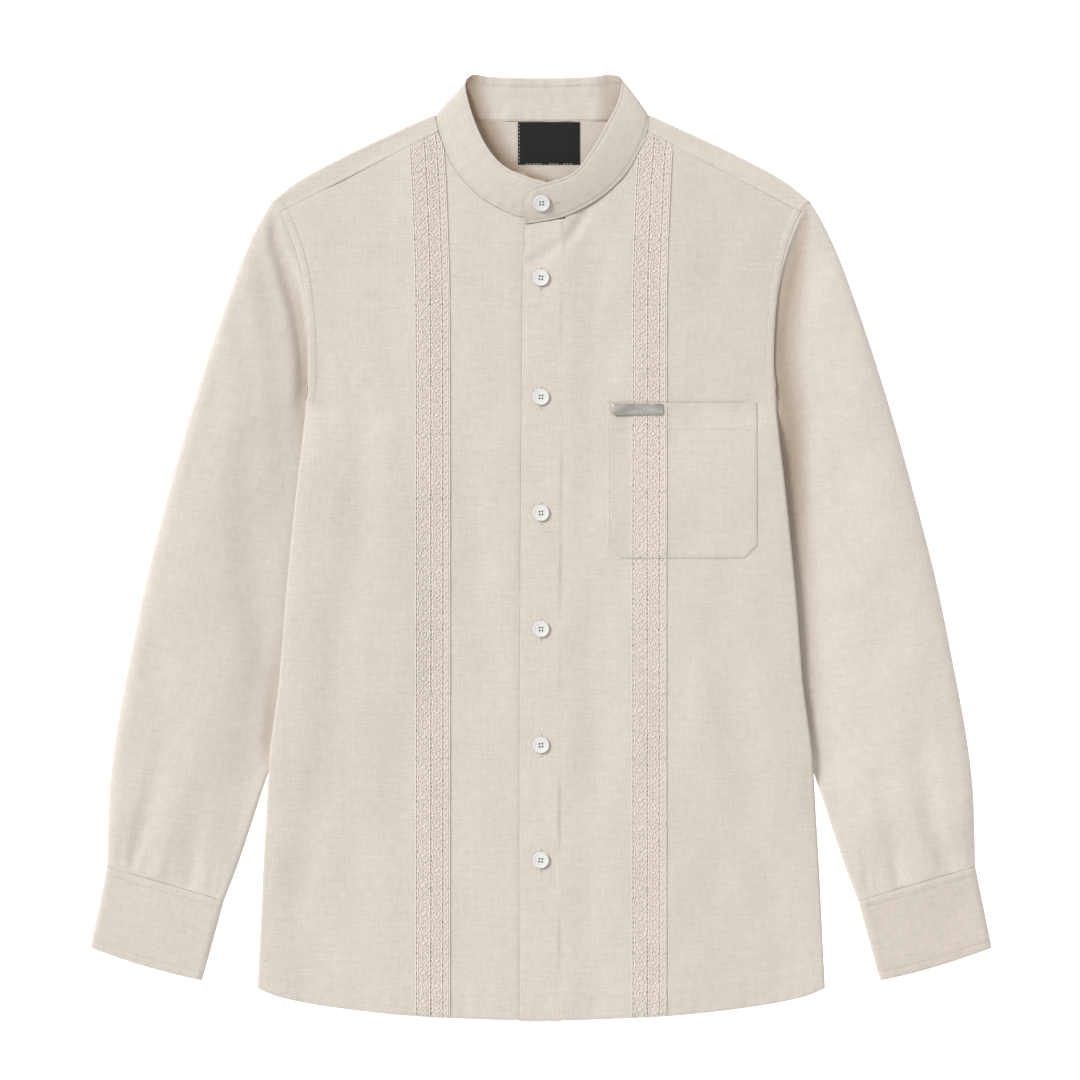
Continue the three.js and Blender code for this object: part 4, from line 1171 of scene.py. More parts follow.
def collar_faces():
    """Outer face of the band as rows along it, and the wall behind each point."""
    table = np.array(COLLAR, float)
    middle = (table[:, :3] + table[:, 3:]) / 2
    s = lengths_of(middle)
    at = np.linspace(0, s[-1], 300)
    rows = through(s, table, at)
    seam, free = rows[:, :3], rows[:, 3:]
    across = np.array([0, 0.4, 0.9, 1.5, 2.2, 3, 4, 5, 5.6, 6.2, 7, 9, 12])
    t = np.concatenate([across / BAND_WIDTH, np.linspace(0.4, 0.6, 6), 1 - across[::-1] / BAND_WIDTH])
    base = seam[:, None] * (1 - t[:, None]) + free[:, None] * t[:, None]
    n = unit(np.cross(free - seam, np.gradient((seam + free) / 2, axis=0)))
    lying = smooth((rows[:, 2] + rows[:, 5] - 2) / 6)
    bow = lying[:, None] * 4 * t * (1 - t)
    edge = np.minimum(t, 1 - t) * BAND_WIDTH
    pinch = COLLAR_EDGE * bell(edge, 0.7)
    stitched = 0.5 * bell(edge - 2.6, 0.75)
    wave = pucker(at[:, None], 41, 0.16)
    wave = wave + (pucker(at[:, None] / 2.6, 43, 0.55) - 0.55) * (1 - lying[:, None])
    grid = base + n[:, None] * (bow - pinch - stitched + wave * bell(edge - 3, 8))[..., None]
    inner_stitch = 0.5 * bell((1 - t) * BAND_WIDTH - INNER_STITCH, 0.8)
    wall = np.broadcast_to(BAND - 2 * pinch - stitched - inner_stitch, grid.shape[:2])
    u = np.broadcast_to((at - at.mean())[:, None], grid.shape[:2])
    v = np.broadcast_to(t * BAND_WIDTH, grid.shape[:2])
    uv = np.stack([u + 500, v + 1200], -1) * MM
    return grid, wall, uv, n


collar_points, collar_wall, collar_uv, collar_normal = collar_faces()
collar = shell("shirt_collar", collar_points, collar_wall, collar_cloth, collar_uv)
placed(collar, "collar_cloth", "collar_band")


def collar_painted_shade(x, y, z):
    """Painted shade on the inner face of the back part, darkest where the band turns up at its two ends."""
    d = into_neck(x, y)
    inside = smooth((6.0 - z) / 2.5) * smooth((y - 322) / 14)
    return inside * ((d > 0) * 0.65 * (1 - smooth((d - 2) / 20)) + 0.24 * smooth((x - 44) / 12))


paint_shade(collar, collar_painted_shade)


# ---- sleeves and cuffs ----
def sleeve_thickness(x, y):
    out = x - edge_x(y)
    tucked = TUCK_THICK + (SLEEVE_THICK - TUCK_THICK) * smooth((out - 3) / 36)
    seamed = BODY_THICK + (SLEEVE_THICK - BODY_THICK) * smooth(out / 25)
    low = tucked + (SLEEVE_THICK - tucked) * smooth((-186 - y) / 30)
    return low + (seamed - low) * smooth((y - 109) / 28)


def tube_loop():
    """Shares across a flattened tube with how far each point has turned up (1) or down (-1)."""
    top = (1 - np.cos(np.linspace(0, np.pi, 47))) / 2
    bottom = (1 - np.cos(np.linspace(0, np.pi, 31))) / 2
    shares = np.concatenate([top, bottom[::-1][1:-1]])
    up = np.concatenate([np.ones(len(top)), -np.ones(len(bottom) - 2)])
    return shares, up


def turned(share, width, radius):
    near = np.minimum(share, 1 - share) * width
    reach = np.clip((radius - near) / radius, 0, 1)
    return np.sqrt(1 - reach**2)


SLEEVE_LEAN = math.radians(11)
CUFF_LEAN = math.radians(16)


def grain_uv(x, y, side, up, lean):
    """Cloth places of a flattened tube, on the straight grain, with its first point again at the end."""
    first = (x * math.cos(lean) + y * math.sin(lean)) * side
    second = y * math.cos(lean) - x * math.sin(lean)
    uv = np.stack([first, second], -1) * MM + np.array([0.9 + 0.5 * side, 0.3])
    uv = uv + np.where(up > 0, 0, 0.7)[None, :, None] * np.array([0, 1])
    return np.concatenate([uv, uv[:, :1]], 1)


def sleeve_rows():
    """Plan of the sleeve: rows of points across it, from armhole to cuff, with places along it."""
    arm_y = np.linspace(295, UNDERARM_Y, 60)
    arm = np.stack([edge_x(arm_y), arm_y], -1)
    shares, up = tube_loop()
    start = np.array(SLEEVE[0], float)
    rows = []
    for row, (ox, oy, ix, iy, share, sag) in enumerate(SLEEVE):
        t = shares[:, None]
        base = np.array([ox, oy]) * (1 - t) + np.array([ix, iy]) * t
        chord = start[:2] * (1 - t) + start[2:4] * t
        bend = along(arm, shares * lengths_of(arm)[-1])
        length = math.hypot(ox - ix, oy - iy)
        bow = sag * 4 * t * (1 - t) / length * np.array([oy - iy, -(ox - ix)])
        p = base + (bend - chord) * share + bow
        if row == 0:
            tip = 0.15 * smooth(1 - t * 10)
            p = p + np.concatenate([GAP + tip, tip * 0.5], 1)
        rows.append(p)
    rows = np.array(rows)
    middle = rows[:, 24]
    s = lengths_of(middle)
    near_cuff = s[-1] - np.array([3, 2, 1.2, 0.6, 0])
    at = np.concatenate([[0, 0.5, 1.1, 1.9, 3], np.arange(5.5, s[-1] - 4, 3.0), near_cuff])
    return through(s, rows, at), at, shares, up


def sleeve_grid(side):
    plan, at, shares, up = sleeve_rows()
    x, y = plan[..., 0], plan[..., 1]
    width = np.linalg.norm(plan[:, 0] - plan[:, 46], axis=1)[:, None]
    out = x - edge_x(y)
    below = smooth((UNDERARM_Y - 10 - y) / 30)
    end = at[-1] - at[:, None]
    puff = np.clip(below + smooth((at[:, None] - 6) / 44), 0, 1) * smooth((end - 3) / 70)
    puff = 5.2 * smooth((out - 12) / 56) * puff
    thick = sleeve_thickness(x, y) + puff
    outer_fold = np.where(shares < 0.5, 13.0, 4.0)
    top = turned(shares, width, outer_fold)
    low = turned(shares, width, 4.0)
    z = thick / 2 * (1 + np.where(up > 0, top, -low))
    fade = smooth(np.minimum(shares, 1 - shares) * 9) * (up > 0)
    relief = folds(SLEEVE_FOLDS, side, x, y) + ripple(x, y, 50 + side, 0.25)
    gather = smooth((end - 0.5) / 9) * 0.6 * pucker(shares * width, 61 + side, 1.0) * bell(end, 26)
    seam = -0.4 * bell(at[:, None], 0.8) - 0.3 * bell(end, 0.7)
    z = z + fade * (relief * smooth(at[:, None] / 6) + gather) + seam * (up > 0) * fade
    z = np.maximum(z, np.where(up > 0, 2.4 * top, 0))
    return np.stack([side * x, y, z], -1), grain_uv(x, y, side, up, SLEEVE_LEAN)


def cuff_grid(side):
    shares, up = tube_loop()
    table = np.array(CUFF, float)
    s = lengths_of(table[:, :2])
    at = np.array([0, 0.3, 0.7, 1.2, 1.9, 2.8, 4, 5.4, 6.4, 7.0, 7.6, 8.6, 11])
    at = np.concatenate([at, np.linspace(14, s[-1] - 11, 20), s[-1] - at[::-1]])
    rows = through(s, table, at)
    t = shares[:, None]
    plan = rows[:, None, :2] * (1 - t) + rows[:, None, 2:] * t
    plan[..., 1] -= 2.2 * (at / s[-1])[:, None] ** 2 * 4 * (t * (1 - t))[:, 0]
    width = np.linalg.norm(rows[:, :2] - rows[:, 2:], axis=1)[:, None]
    thick = SLEEVE_THICK + 0.5 * smooth(at / 4)[:, None]
    top = turned(shares, width, 6.0)
    low = turned(shares, width, 3.5)
    z = thick / 2 * (1 + np.where(up > 0, top, -low))
    end = s[-1] - at[:, None]
    head = at[:, None]
    relief = -0.15 * bell(head - CUFF_STITCH, 0.7) - 0.2 * bell(end - CUFF_STITCH, 0.7)
    relief = relief - 0.25 * bell(head, 0.5) - 0.5 * bell(end, 0.7) + 0.3 * bell(head - 3.2, 2.6)
    relief = relief + ripple(plan[..., 0], plan[..., 1], 70 + side, 0.14)
    relief = relief + pucker(shares * width, 71 + side, 0.16) * (bell(head - 4, 7) + bell(end - 4, 8))
    fade = smooth(np.minimum(shares, 1 - shares) * 14) * (up > 0)
    z = np.maximum(z + relief * fade, 0)
    uv = grain_uv(plan[..., 0], plan[..., 1], side, up, CUFF_LEAN)
    return np.stack([side * plan[..., 0], plan[..., 1], z], -1), uv


def cuff_painted_line_shade(side, x, y):
    """Painted shade in a thin line along the seam that joins a cuff to its sleeve."""
    ax, ay, bx, by = CUFF[0]
    from_seam = ((side * x - ax) * (by - ay) - (y - ay) * (bx - ax)) / math.hypot(bx - ax, by - ay)
    return 0.4 * bell(from_seam, 0.5)


# Rows run from armhole to cuff, towards -Y, so the outer face is the flipped one on the +X side.
sleeves, cuffs = {}, {}
for side, hand in HANDS:
    grid, uv = sleeve_grid(side)
    made = shell("shirt_sleeve_" + hand, grid, CLOTH, cloth, uv, flip=side < 0, wrap=True)
    # Painted shade in the hollows beside the body.
    paint_shade(made, lambda x, y, z, side=side: 1.1 * folds(PAINTED_HOLLOW_SHADE, side, side * x, y))
    sleeves[side] = placed(made, "cloth", "sleeve_" + hand)
    grid, uv = cuff_grid(side)
    made = shell("shirt_cuff_" + hand, grid, BAND, cloth, uv, flip=side < 0, wrap=True)
    # Painted shade: each cuff a little darker all over, the +X one more, and a thin line along its seam.
    paint_shade(made, lambda x, y, z, side=side: np.full(len(x), 0.055 + 0.035 * side))
    paint_shade(made, lambda x, y, z, side=side: cuff_painted_line_shade(side, x, y), "painted_line_shade")
    cuffs[side] = placed(made, "cloth", "cuff_" + hand)


# ---- lace ----
TRIM_RISE = 0.5  # outer face of the lace above the cloth it lies on
POCKET_RISE = 1.0
POCKET_WALL = 0.9
LACE_STRAND = 0.42
LACE_ROW = 2.6
LACE_EDGES = np.array([0, 0.2, 0.5, 0.9, 1.4, 2.2, 3.4]) / (2 * TRIM_HALF)
LACE_ACROSS = np.concatenate([LACE_EDGES, np.linspace(0.15, 0.85, 16), 1 - LACE_EDGES[::-1]])
LACE_ACROSS = (LACE_ACROSS - 0.5) * 2 * TRIM_HALF


def trim_top(side, x):
    """Height at which a trim meets the collar seam or the yoke seam."""
    neck = neck_line(side)
    rising = neck[np.argsort(neck[:, 0])]
    on_neck = np.interp(x, rising[:, 0], rising[:, 1]) - 0.5
    on_yoke = yoke_line(side, x) - 0.5
    return np.where(x < YOKE_NECK[side][0][0], np.minimum(on_neck, on_yoke), on_yoke)


def trim_x(side, across, y):
    """Distance from the shirt's middle of a place across the band, measured to +X."""
    return read(TRIM_CENTRE, y) + side * across


def trim_z(side, x, y):
    return front_z(side, x, y) + TRIM_RISE + 0.12 * np.sin(y / 9.0 + 2 * np.sin(y / 31.0))


def pocket_z(x, y):
    """Outer face of the pocket; it rises a little where it crosses the lace."""
    centre = read(TRIM_CENTRE, y)
    over = smooth((TRIM_HALF + 4 - np.abs(x - centre)) / 5)
    sag = 0.5 * bell(y - POCKET["top"], 16) * smooth((x - 62) / 20) * smooth((178 - x) / 20)
    return front_z(1, x, y) + POCKET_RISE + 0.4 * over + sag


def pocket_bottom(x):
    corner = POCKET["chamfer"] - np.minimum(x - POCKET["left"], POCKET["right"] - x)
    return POCKET["bottom"] + np.maximum(corner, 0)


def lace_band(node_name, side, x, y, height, uv_shift=0.0):
    """A lace band through rows of places x away from the middle and y, at a height that they give."""
    out = TRIM_HALF - np.abs(LACE_ACROSS)
    z = height(x, y) - 0.3 * bell(out, 0.5) + 0.12 * bell(out - 1.2, 0.7)
    uv = np.stack(np.broadcast_arrays(LACE_ACROSS, y + uv_shift), -1) * MM
    made = shell("shirt_" + node_name, np.stack([side * x, y, z], -1), LACE - 0.3, lace, uv)
    return placed(made, "lace", node_name)


def trim_rows(side):
    """Places of a trim's grid, from the hem up to the neck or the yoke seam."""
    top = trim_top(side, trim_x(side, LACE_ACROSS, 340))
    share = np.linspace(0, 1, int((np.max(top) - HEM_LOW) / LACE_ROW))[:, None]
    y = HEM_LOW + share * (top - HEM_LOW)
    for _ in range(2):
        x = trim_x(side, LACE_ACROSS, y)
        y = hem_y(x) + share * (top - hem_y(x))
    return x, y


def arc(cx, cy, rx, ry, start, end, count=8):
    a = np.radians(np.linspace(start, end, count))
    return np.stack([cx + rx * np.cos(a), cy + ry * np.sin(a)], -1)


def zigzag(left, right, low, high, pitch):
    count = int((high - low) / pitch * 2)
    y = low + np.arange(count + 1) * pitch / 2
    x = np.where(np.arange(count + 1) % 2 == 0, left, right) + rng.uniform(-0.3, 0.3, count + 1)
    middle_y = (y[1:] + y[:-1]) / 2 + rng.uniform(-0.25, 0.25, count)
    middle_x = (x[1:] + x[:-1]) / 2 + rng.uniform(-0.35, 0.35, count)
    points = np.empty((2 * count + 1, 2))
    points[0::2] = np.stack([x, y], -1)
    points[1::2] = np.stack([middle_x, middle_y], -1)
    return [points[k : k + 9] for k in range(0, len(points) - 1, 8)]


# Straight cords of the lace: place across the band and how far they waver.
LACE_CORDS = [
    (-14.5, 0.08), (-12.6, 0.25), (-2.5, 0.25), (-0.3, 0.25), (7.7, 0.3), (12.9, 0.12), (14.4, 0.06),
]


def lozenges(cx, half, low, high, tall_low, tall_high):
    """A column of linked lozenges with curved sides and, by turns, a leaf or crossed tendrils inside."""
    paths = []
    y = low - rng.uniform(0, tall_low)
    leaf = True
    while y < high:
        tall = rng.uniform(tall_low, tall_high)
        at = np.array([0, 0.16, 0.34, 0.5, 0.66, 0.84, 1.0])
        out = np.array([0.04, 0.36, 0.74, 1.0, 0.74, 0.36, 0.04])
        for way in (1, -1):
            wobble = rng.uniform(-0.3, 0.3, (7, 2))
            paths.append(np.stack([cx + way * half * out, y + tall * at], -1) + wobble)
        if leaf:
            leaf_path = arc(cx, y + tall / 2, half * 0.42, tall * 0.2, 20, 345, 9)
            paths.append(leaf_path + rng.uniform(-0.15, 0.15, (9, 2)))
        else:
            for way in (1, -1):
                share = np.array([-1, 0, 1])
                tendril = np.stack([cx + way * half * 0.6 * share, y + tall * (0.5 + 0.14 * share)], -1)
                paths.append(tendril + rng.uniform(-0.25, 0.25, (3, 2)))
        for way in (1, -1):  # the net between two lozenges
            far = (cx + way * half, y + tall * rng.uniform(0.98, 1.08))
            paths.append(np.array([(cx + way * half * 0.3, y + tall * 0.9), far]))
        y += tall
        leaf = not leaf
    return paths


def lace_figure(low, high):
    """The lace's strands as flat paths (across, y): cords, lozenges and a zigzag border."""
    paths = []
    for place, waver in LACE_CORDS:
        y = np.arange(low, high, 2.3)
        phase = rng.uniform(0, 6.28)
        x = place + waver * np.sin(y / 1.9 + phase) + waver * rng.uniform(-0.6, 0.6, len(y))
        line = np.stack([x, y], -1)
        paths += [line[k : k + 25] for k in range(0, len(line) - 1, 24)]
    paths += lozenges(-7.5, 4.6, low, high, 11.6, 13.8)
    paths += lozenges(3.7, 3.8, low, high, 8.8, 10.6)
    paths += zigzag(9.4, 12.4, low, high, 5.4)
    return paths


def lace_strands(node_name, side, ends, low, high, height):
    """The strands of a band from ends[0] to ends[1], cut off at low(x) and high(x)."""
    made = []
    for flat in lace_figure(*ends):
        x = trim_x(side, flat[:, 0], flat[:, 1])
        y = flat[:, 1]
        inside = (y > low(x) + 0.5) & (y < high(x) - 0.4)
        if not inside.all():
            keep = np.flatnonzero(inside)
            if len(keep) < 2:
                continue
            x, y = x[keep[0] : keep[-1] + 1], y[keep[0] : keep[-1] + 1]
        made.append(np.stack([side * x, y, height(x, y) + 0.3], -1))
    name = "shirt_%s_strands" % node_name
    return placed(tubes(name, made, LACE_STRAND, lace_thread, taper=0.7), "lace")


trims = {}
for side, hand in HANDS:
    height = functools.partial(trim_z, side)
    band = lace_band("trim_" + hand, side, *trim_rows(side), height)
    top = functools.partial(trim_top, side)
    trims[side] = band, lace_strands("trim_" + hand, side, (HEM_LOW + 1, 352), hem_y, top, height)


# ---- pocket ----
def pocket_grid():
    edge = np.array([0, 0.12, 0.35, 0.7, 1.1, 1.5, 1.9, 2.5, 3.6, 5.5, 8.2, 11])
    width = POCKET["right"] - POCKET["left"]
    x = POCKET["left"] + np.concatenate([edge, np.linspace(13, width - 13, 52), width - edge[::-1]])
    height = POCKET["top"] - POCKET["bottom"]
    near_top = [26, 25, 24.4, 23.8, 23.2, 22.4, 20, 17, 14, 11, 8, 5, 3.4, 2.2, 1.3, 0.6, 0.2, 0]
    rise = np.concatenate([edge, np.linspace(14, height - 28, 40), height - np.array(near_top)])
    low = pocket_bottom(x)
    y = low + rise[:, None] / height * (POCKET["top"] - low)
    x = np.broadcast_to(x, y.shape)
    out_x = np.minimum(x - POCKET["left"], POCKET["right"] - x)
    corner = (out_x + y - POCKET["bottom"] - POCKET["chamfer"]) / 1.414
    out = np.minimum(np.minimum(out_x, y - low), corner)
    above = POCKET["top"] - y
    z = pocket_z(x, y) - 0.6 * bell(out, 0.5) - 0.2 * bell(out - 1.7, 0.45)
    z = z - 0.25 * bell(above - POCKET_HEM, 0.6) + 0.25 * (1 - smooth((above - POCKET_HEM + 0.3) / 1.4))
    z = z - 0.4 * bell(above, 0.5)
    return np.stack([x, y, z], -1)


pocket_points = pocket_grid()
pocket = shell("shirt_pocket", pocket_points, POCKET_WALL, cloth, flat_uv(pocket_points, (800, 300)))
placed(pocket, "cloth", "pocket")
# Painted shade: the pocket a little darker all over, and a thin painted shadow along its mouth.
paint_shade(pocket, lambda x, y, z: np.full(len(x), 0.05))
paint_shade(pocket, lambda x, y, z: 0.45 * bell(POCKET["top"] - y, 0.5) * smooth((177 - x) / 6), "painted_line_shade")


def pocket_lace_z(x, y):
    return pocket_z(x, y) + TRIM_RISE


pocket_ends = POCKET["bottom"] + 0.6, POCKET["top"] - 0.4
lace_y = np.linspace(*pocket_ends, 56)[:, None] + np.zeros_like(LACE_ACROSS)
pocket_trim = lace_band("pocket_trim", 1, trim_x(1, LACE_ACROSS, lace_y), lace_y, pocket_lace_z, 2.2)
pocket_strands = lace_strands(
    "pocket_trim", 1, (POCKET["bottom"] + 1, POCKET["top"] - 0.5),
    lambda x: np.full_like(x, pocket_ends[0] + 0.2), lambda x: np.full_like(x, pocket_ends[1]), pocket_lace_z,
)


# ---- tab ----
def rounded_plate(name, box, z, thick, corner, bevel, material, crown):
    """A plate with rounded corners and a rounded upper edge, slightly crowned."""
    x0, x1, y0, y1 = box
    outline = []
    for cx, cy, start in (
        (x1 - corner, y1 - corner, 0), (x0 + corner, y1 - corner, 90),
        (x0 + corner, y0 + corner, 180), (x1 - corner, y0 + corner, 270),
    ):
        for a in np.radians(np.linspace(start, start + 90, 7)):
            outline.append((cx + corner * math.cos(a), cy + corner * math.sin(a), math.cos(a), math.sin(a)))
    outline = np.array(outline)
    centre = np.array([(x0 + x1) / 2, (y0 + y1) / 2])
    rings = [(0, 0.0), (0, thick - bevel)]
    for a in np.radians([22, 45, 68, 90]):
        rings.append((bevel * (1 - math.cos(a)), thick - bevel + bevel * math.sin(a)))
    verts = []
    for inset, height in rings:
        p = outline[:, :2] - outline[:, 2:] * inset
        verts.append(np.concatenate([p, np.full((len(p), 1), z + height)], 1))
    inner = verts[-1][:, :2]
    for share in (0.75, 0.5, 0.25):
        p = centre + (inner - centre) * [1 - (1 - share) * 0.5, share]
        verts.append(np.concatenate([p, np.full((len(p), 1), z + thick + crown * (1 - share**2))], 1))
    count = len(outline)
    verts = np.concatenate(verts)
    faces = []
    layers = len(verts) // count
    for k in range(layers - 1):
        for a in range(count):
            b = (a + 1) % count
            faces.append((k * count + a, k * count + b, (k + 1) * count + b, (k + 1) * count + a))
    faces.append(tuple(range(count))[::-1])
    faces.append(tuple(range((layers - 1) * count, layers * count)))
    return new_object(name, verts, faces, corner_uv(verts, faces), material, 40)


def top_of(piece, x0, x1, y0, y1):
    """Highest point of a piece inside a box seen from above."""
    x, y, z = points_of(piece).T
    return z[(x > x0) & (x < x1) & (y > y0) & (y < y1)].max()


tab_box = TAB["left"], TAB["right"], TAB["bottom"], TAB["top"]
tab_z = top_of(pocket_strands, *tab_box) - 0.15
tab = rounded_plate("shirt_pocket_tab", tab_box, tab_z, TAB["thick"] + 0.2, 2.0, 0.8, tab_metal, 0.45)
placed(tab, "tab_metal", "pocket_tab")


# ---- neck label ----
def label_grid():
    x = np.linspace(LABEL["left"], LABEL["right"], 40)
    y = np.linspace(LABEL["bottom"], LABEL["top"], 30)[:, None]
    x, y = np.broadcast_arrays(x, y)
    inset = np.minimum(np.minimum(x - LABEL["left"], LABEL["right"] - x), y - LABEL["bottom"])
    z = CLOTH + SEAM + LABEL["thick"] + 0.5 * smooth(inset / 9) + 0.12 * np.sin(x / 5.0) * bell(inset, 6)
    return np.stack([x, y, z - 0.2 * bell(inset, 0.8)], -1)


label_points = label_grid()
label = shell("shirt_neck_label", label_points, LABEL["thick"], label_cloth, flat_uv(label_points))
placed(label, "label_cloth", "neck_label")


def label_stitches():
    made = []
    z = CLOTH + SEAM + LABEL["thick"] + 0.05
    heights = np.linspace(LABEL["bottom"] + 1, LABEL["top"] - 1, 20)
    side = np.array([(LABEL["left"] + 1.1, y, z) for y in heights])
    for path in stitches(side, 3.1, 1.3, 0.2):
        path[:, 0] += rng.uniform(-0.15, 0.15)
        made.append(path)
    places = np.linspace(LABEL["left"] + 6, LABEL["right"] - 1, 20)
    low = np.array([(x, LABEL["bottom"] + 0.5, z) for x in places])
    made += [p for p in stitches(low, 2.9, 2.0, 0.2) if rng.uniform() < 0.75]
    return made


label_thread = placed(tubes("shirt_neck_label_stitches", label_stitches(), 0.22, thread), "label_cloth")


# ---- buttons ----
def turned_solid(profile, sides, centre=(0, 0)):
    """Points and faces of a solid turned about an upright axis; the profile starts and ends on it."""
    verts = [(*centre, profile[0][1])]
    for radius, z in profile[1:-1]:
        for a in range(sides):
            t = 2 * math.pi * a / sides
            verts.append((centre[0] + radius * math.cos(t), centre[1] + radius * math.sin(t), z))
    verts.append((*centre, profile[-1][1]))
    last = len(verts) - 1
    top = last - sides
    faces = []
    for a in range(sides):
        b = (a + 1) % sides
        faces.append((0, 1 + b, 1 + a))
        faces += [(k + a, k + b, k + sides + b, k + sides + a) for k in range(1, top, sides)]
        faces.append((top + a, top + b, last))
    return verts, faces


def button_body():
    r, thick, dish = BUTTON["radius"], BUTTON["thick"], BUTTON["dish"]
    profile = [
        (0, 0), (r - 1.4, 0), (r - 0.5, 0.35), (r, 0.9), (r, thick - 0.7), (r - 0.18, thick - 0.25),
        (r - 0.55, thick), (r - 1.0, thick - 0.02), (r - 1.5, thick - dish * 0.35),
        (r - 2.2, thick - dish * 0.55), (r - 3.4, thick - dish * 0.6), (0, thick - dish * 0.6),
    ]
    return turned_solid(profile, 48)


def pins():
    """Four pins, one for each hole."""
    verts, faces = [], []
    r = BUTTON["hole"]
    for sx, sy in ((1, 1), (1, -1), (-1, 1), (-1, -1)):
        centre = sx * HOLE_STEP, sy * HOLE_STEP
        pin, pin_faces = turned_solid([(0, -1), (r, -1), (r, 4), (0, 4)], 14, centre)
        faces += [tuple(len(verts) + v for v in face) for face in pin_faces]
        verts += pin
    return verts, faces


def local_object(name, verts, faces):
    """A mesh about its own origin, for pieces that are copied to several places."""
    mesh = bpy.data.meshes.new(name)
    mesh.from_pydata([(x * MM, y * MM, z * MM) for x, y, z in verts], [], faces)
    return linked(name, mesh)


def drilled_button():
    """The button's mesh: the turned body without the four pins."""
    body = local_object("button_body", *button_body())
    cutter = local_object("button_pins", *pins())
    cut = body.modifiers.new("holes", "BOOLEAN")
    cut.operation = "DIFFERENCE"
    cut.solver = "EXACT"
    cut.object = cutter
    bpy.context.view_layer.update()
    made = bpy.data.meshes.new_from_object(body.evaluated_get(bpy.context.evaluated_depsgraph_get()))
    for scrap in (body, cutter):
        bpy.data.objects.remove(scrap)
    made.name = "button"
    made.shade_smooth()
    made.set_sharp_from_angle(angle=math.radians(35))
    made.materials.clear()
    made.materials.append(pearl)
    return made


def turn_x(points, angle):
    c, s = math.cos(angle), math.sin(angle)
    x, y, z = np.moveaxis(np.asarray(points, float), -1, 0)
    return np.stack([x, y * c - z * s, y * s + z * c], -1)


button_shape = drilled_button()
sewing, satin = [], []
thread_level = BUTTON["thick"] - BUTTON["dish"] * 0.6
for number, (bx, by) in enumerate(BUTTONS):
    first = number == 0
    bz = COLLAR_BUTTON_Z if first else BODY_THICK + UNDER_DROP + SEAM
    tilt = COLLAR_TILT if first else 0.0
    spin = rng.uniform(-0.12, 0.12)
    made = linked("shirt_button_%d" % (number + 1), button_shape)
    made.location = to_world((bx, by, bz))
    made.rotation_euler = (tilt, 0, spin)
    placed(made, "pearl", "button_%d" % (number + 1))
    c, s = math.cos(spin), math.sin(spin)
    for way in (1, -1):
        x = way * HOLE_STEP
        y = HOLE_STEP * np.array([-0.72, -0.5, 0, 0.5, 0.72])
        z = thread_level + np.array([-1.2, -0.1, 0.04, -0.1, -1.2])
        sewing.append(turn_x(np.stack([x * c - y * s, x * s + y * c, z], -1), tilt) + [bx, by, bz])
    # Buttonhole: two rows of satin threads along the slit and a bar at each end.
    start, end = (-6.0, 14.6) if first else (-9.8, 8.4)
    for place in np.arange(start, end, 0.62):
        for way in (1, -1):
            a, b = way * 0.25, way * (1.35 + rng.uniform(-0.1, 0.1))
            across = [(a, -0.25), (a * 1.4, 0.02), ((a + b) / 2, 0.12), (b, -0.25)]
            satin.append((first, bx, by, np.array([(place, *point) for point in across])))
    for place in (start - 0.3, end + 0.3):
        for shift in (-0.35, 0, 0.35):
            across = [(-1.3, -0.25), (-0.6, 0.16), (0.6, 0.16), (1.3, -0.25)]
            satin.append((first, bx, by, np.array([(place + shift, *point) for point in across])))


def collar_height(x, y):
    """Height of the collar's outer face, from its nearest points seen from above."""
    flat = collar_points[150:].reshape(-1, 3)
    near = np.hypot(flat[:, 0] - x, flat[:, 1] - y)
    pick = np.argsort(near)[:4]
    weight = 1 / (near[pick] + 0.05)
    return float((flat[pick, 2] * weight).sum() / weight.sum())


satin_paths = []
for first, bx, by, p in satin:
    if first:
        q = np.stack([bx + p[:, 0], by + p[:, 1], p[:, 2]], -1)
        q[:, 1] += 0.02 * np.maximum(p[:, 0] - 6, 0) ** 2
        q[:, 2] += [collar_height(a, b) for a, b in q[:, :2]]
    else:
        q = np.stack([bx - p[:, 1], by + p[:, 0], p[:, 2]], -1)
        q[:, 2] += placket_z(q[:, 0], q[:, 1])
    satin_paths.append(q)
placed(tubes("shirt_button_threads", sewing, 0.12, white_thread), "pearl")
placed(tubes("shirt_buttonholes", satin_paths, 0.24, thread, sides=4), "cloth")


# ---- stitches ----
def on_front(side, x, y, lift=0.0):
    return np.stack([side * x, y, front_z(side, x, y) + lift], -1)


def front_stitches(side):
    """The hem's row on both sides of the trim and the row beside the armhole."""
    lines = []
    x = np.arange(19.5 if side > 0 else 20.5, 239, 1.5)
    hem = hem_y(x)
    y = hem + HEM_STITCH * (LEVEL_TOP - hem) / (LEVEL_TOP - HEM_LOW)
    keep = np.abs(x - TRIM_PLACE) > TRIM_HALF + 0.8
    for part in (keep & (x < TRIM_PLACE), keep & (x > TRIM_PLACE)):
        lines.append(on_front(side, x[part], y[part]))
    y = np.arange(132, 283, 1.5)
    lines.append(on_front(side, edge_x(y) - ARM_STITCH, y, 0.1))
    return [path for line in lines for path in stitches(line)]


def placket_stitches():
    """The row along the seam and the one across the hem."""
    y = np.arange(-399, 272, 2.0)
    seam = read(PLACKET_SEAM, y) - 1.5
    right = np.stack([seam, y, placket_z(seam, y) - 0.1], -1)
    x = np.arange(-18, 17, 1.2)
    hem = hem_y(x) + HEM_STITCH
    across = np.stack([x, hem, placket_z(x, hem)], -1)
    return stitches(right) + stitches(across)


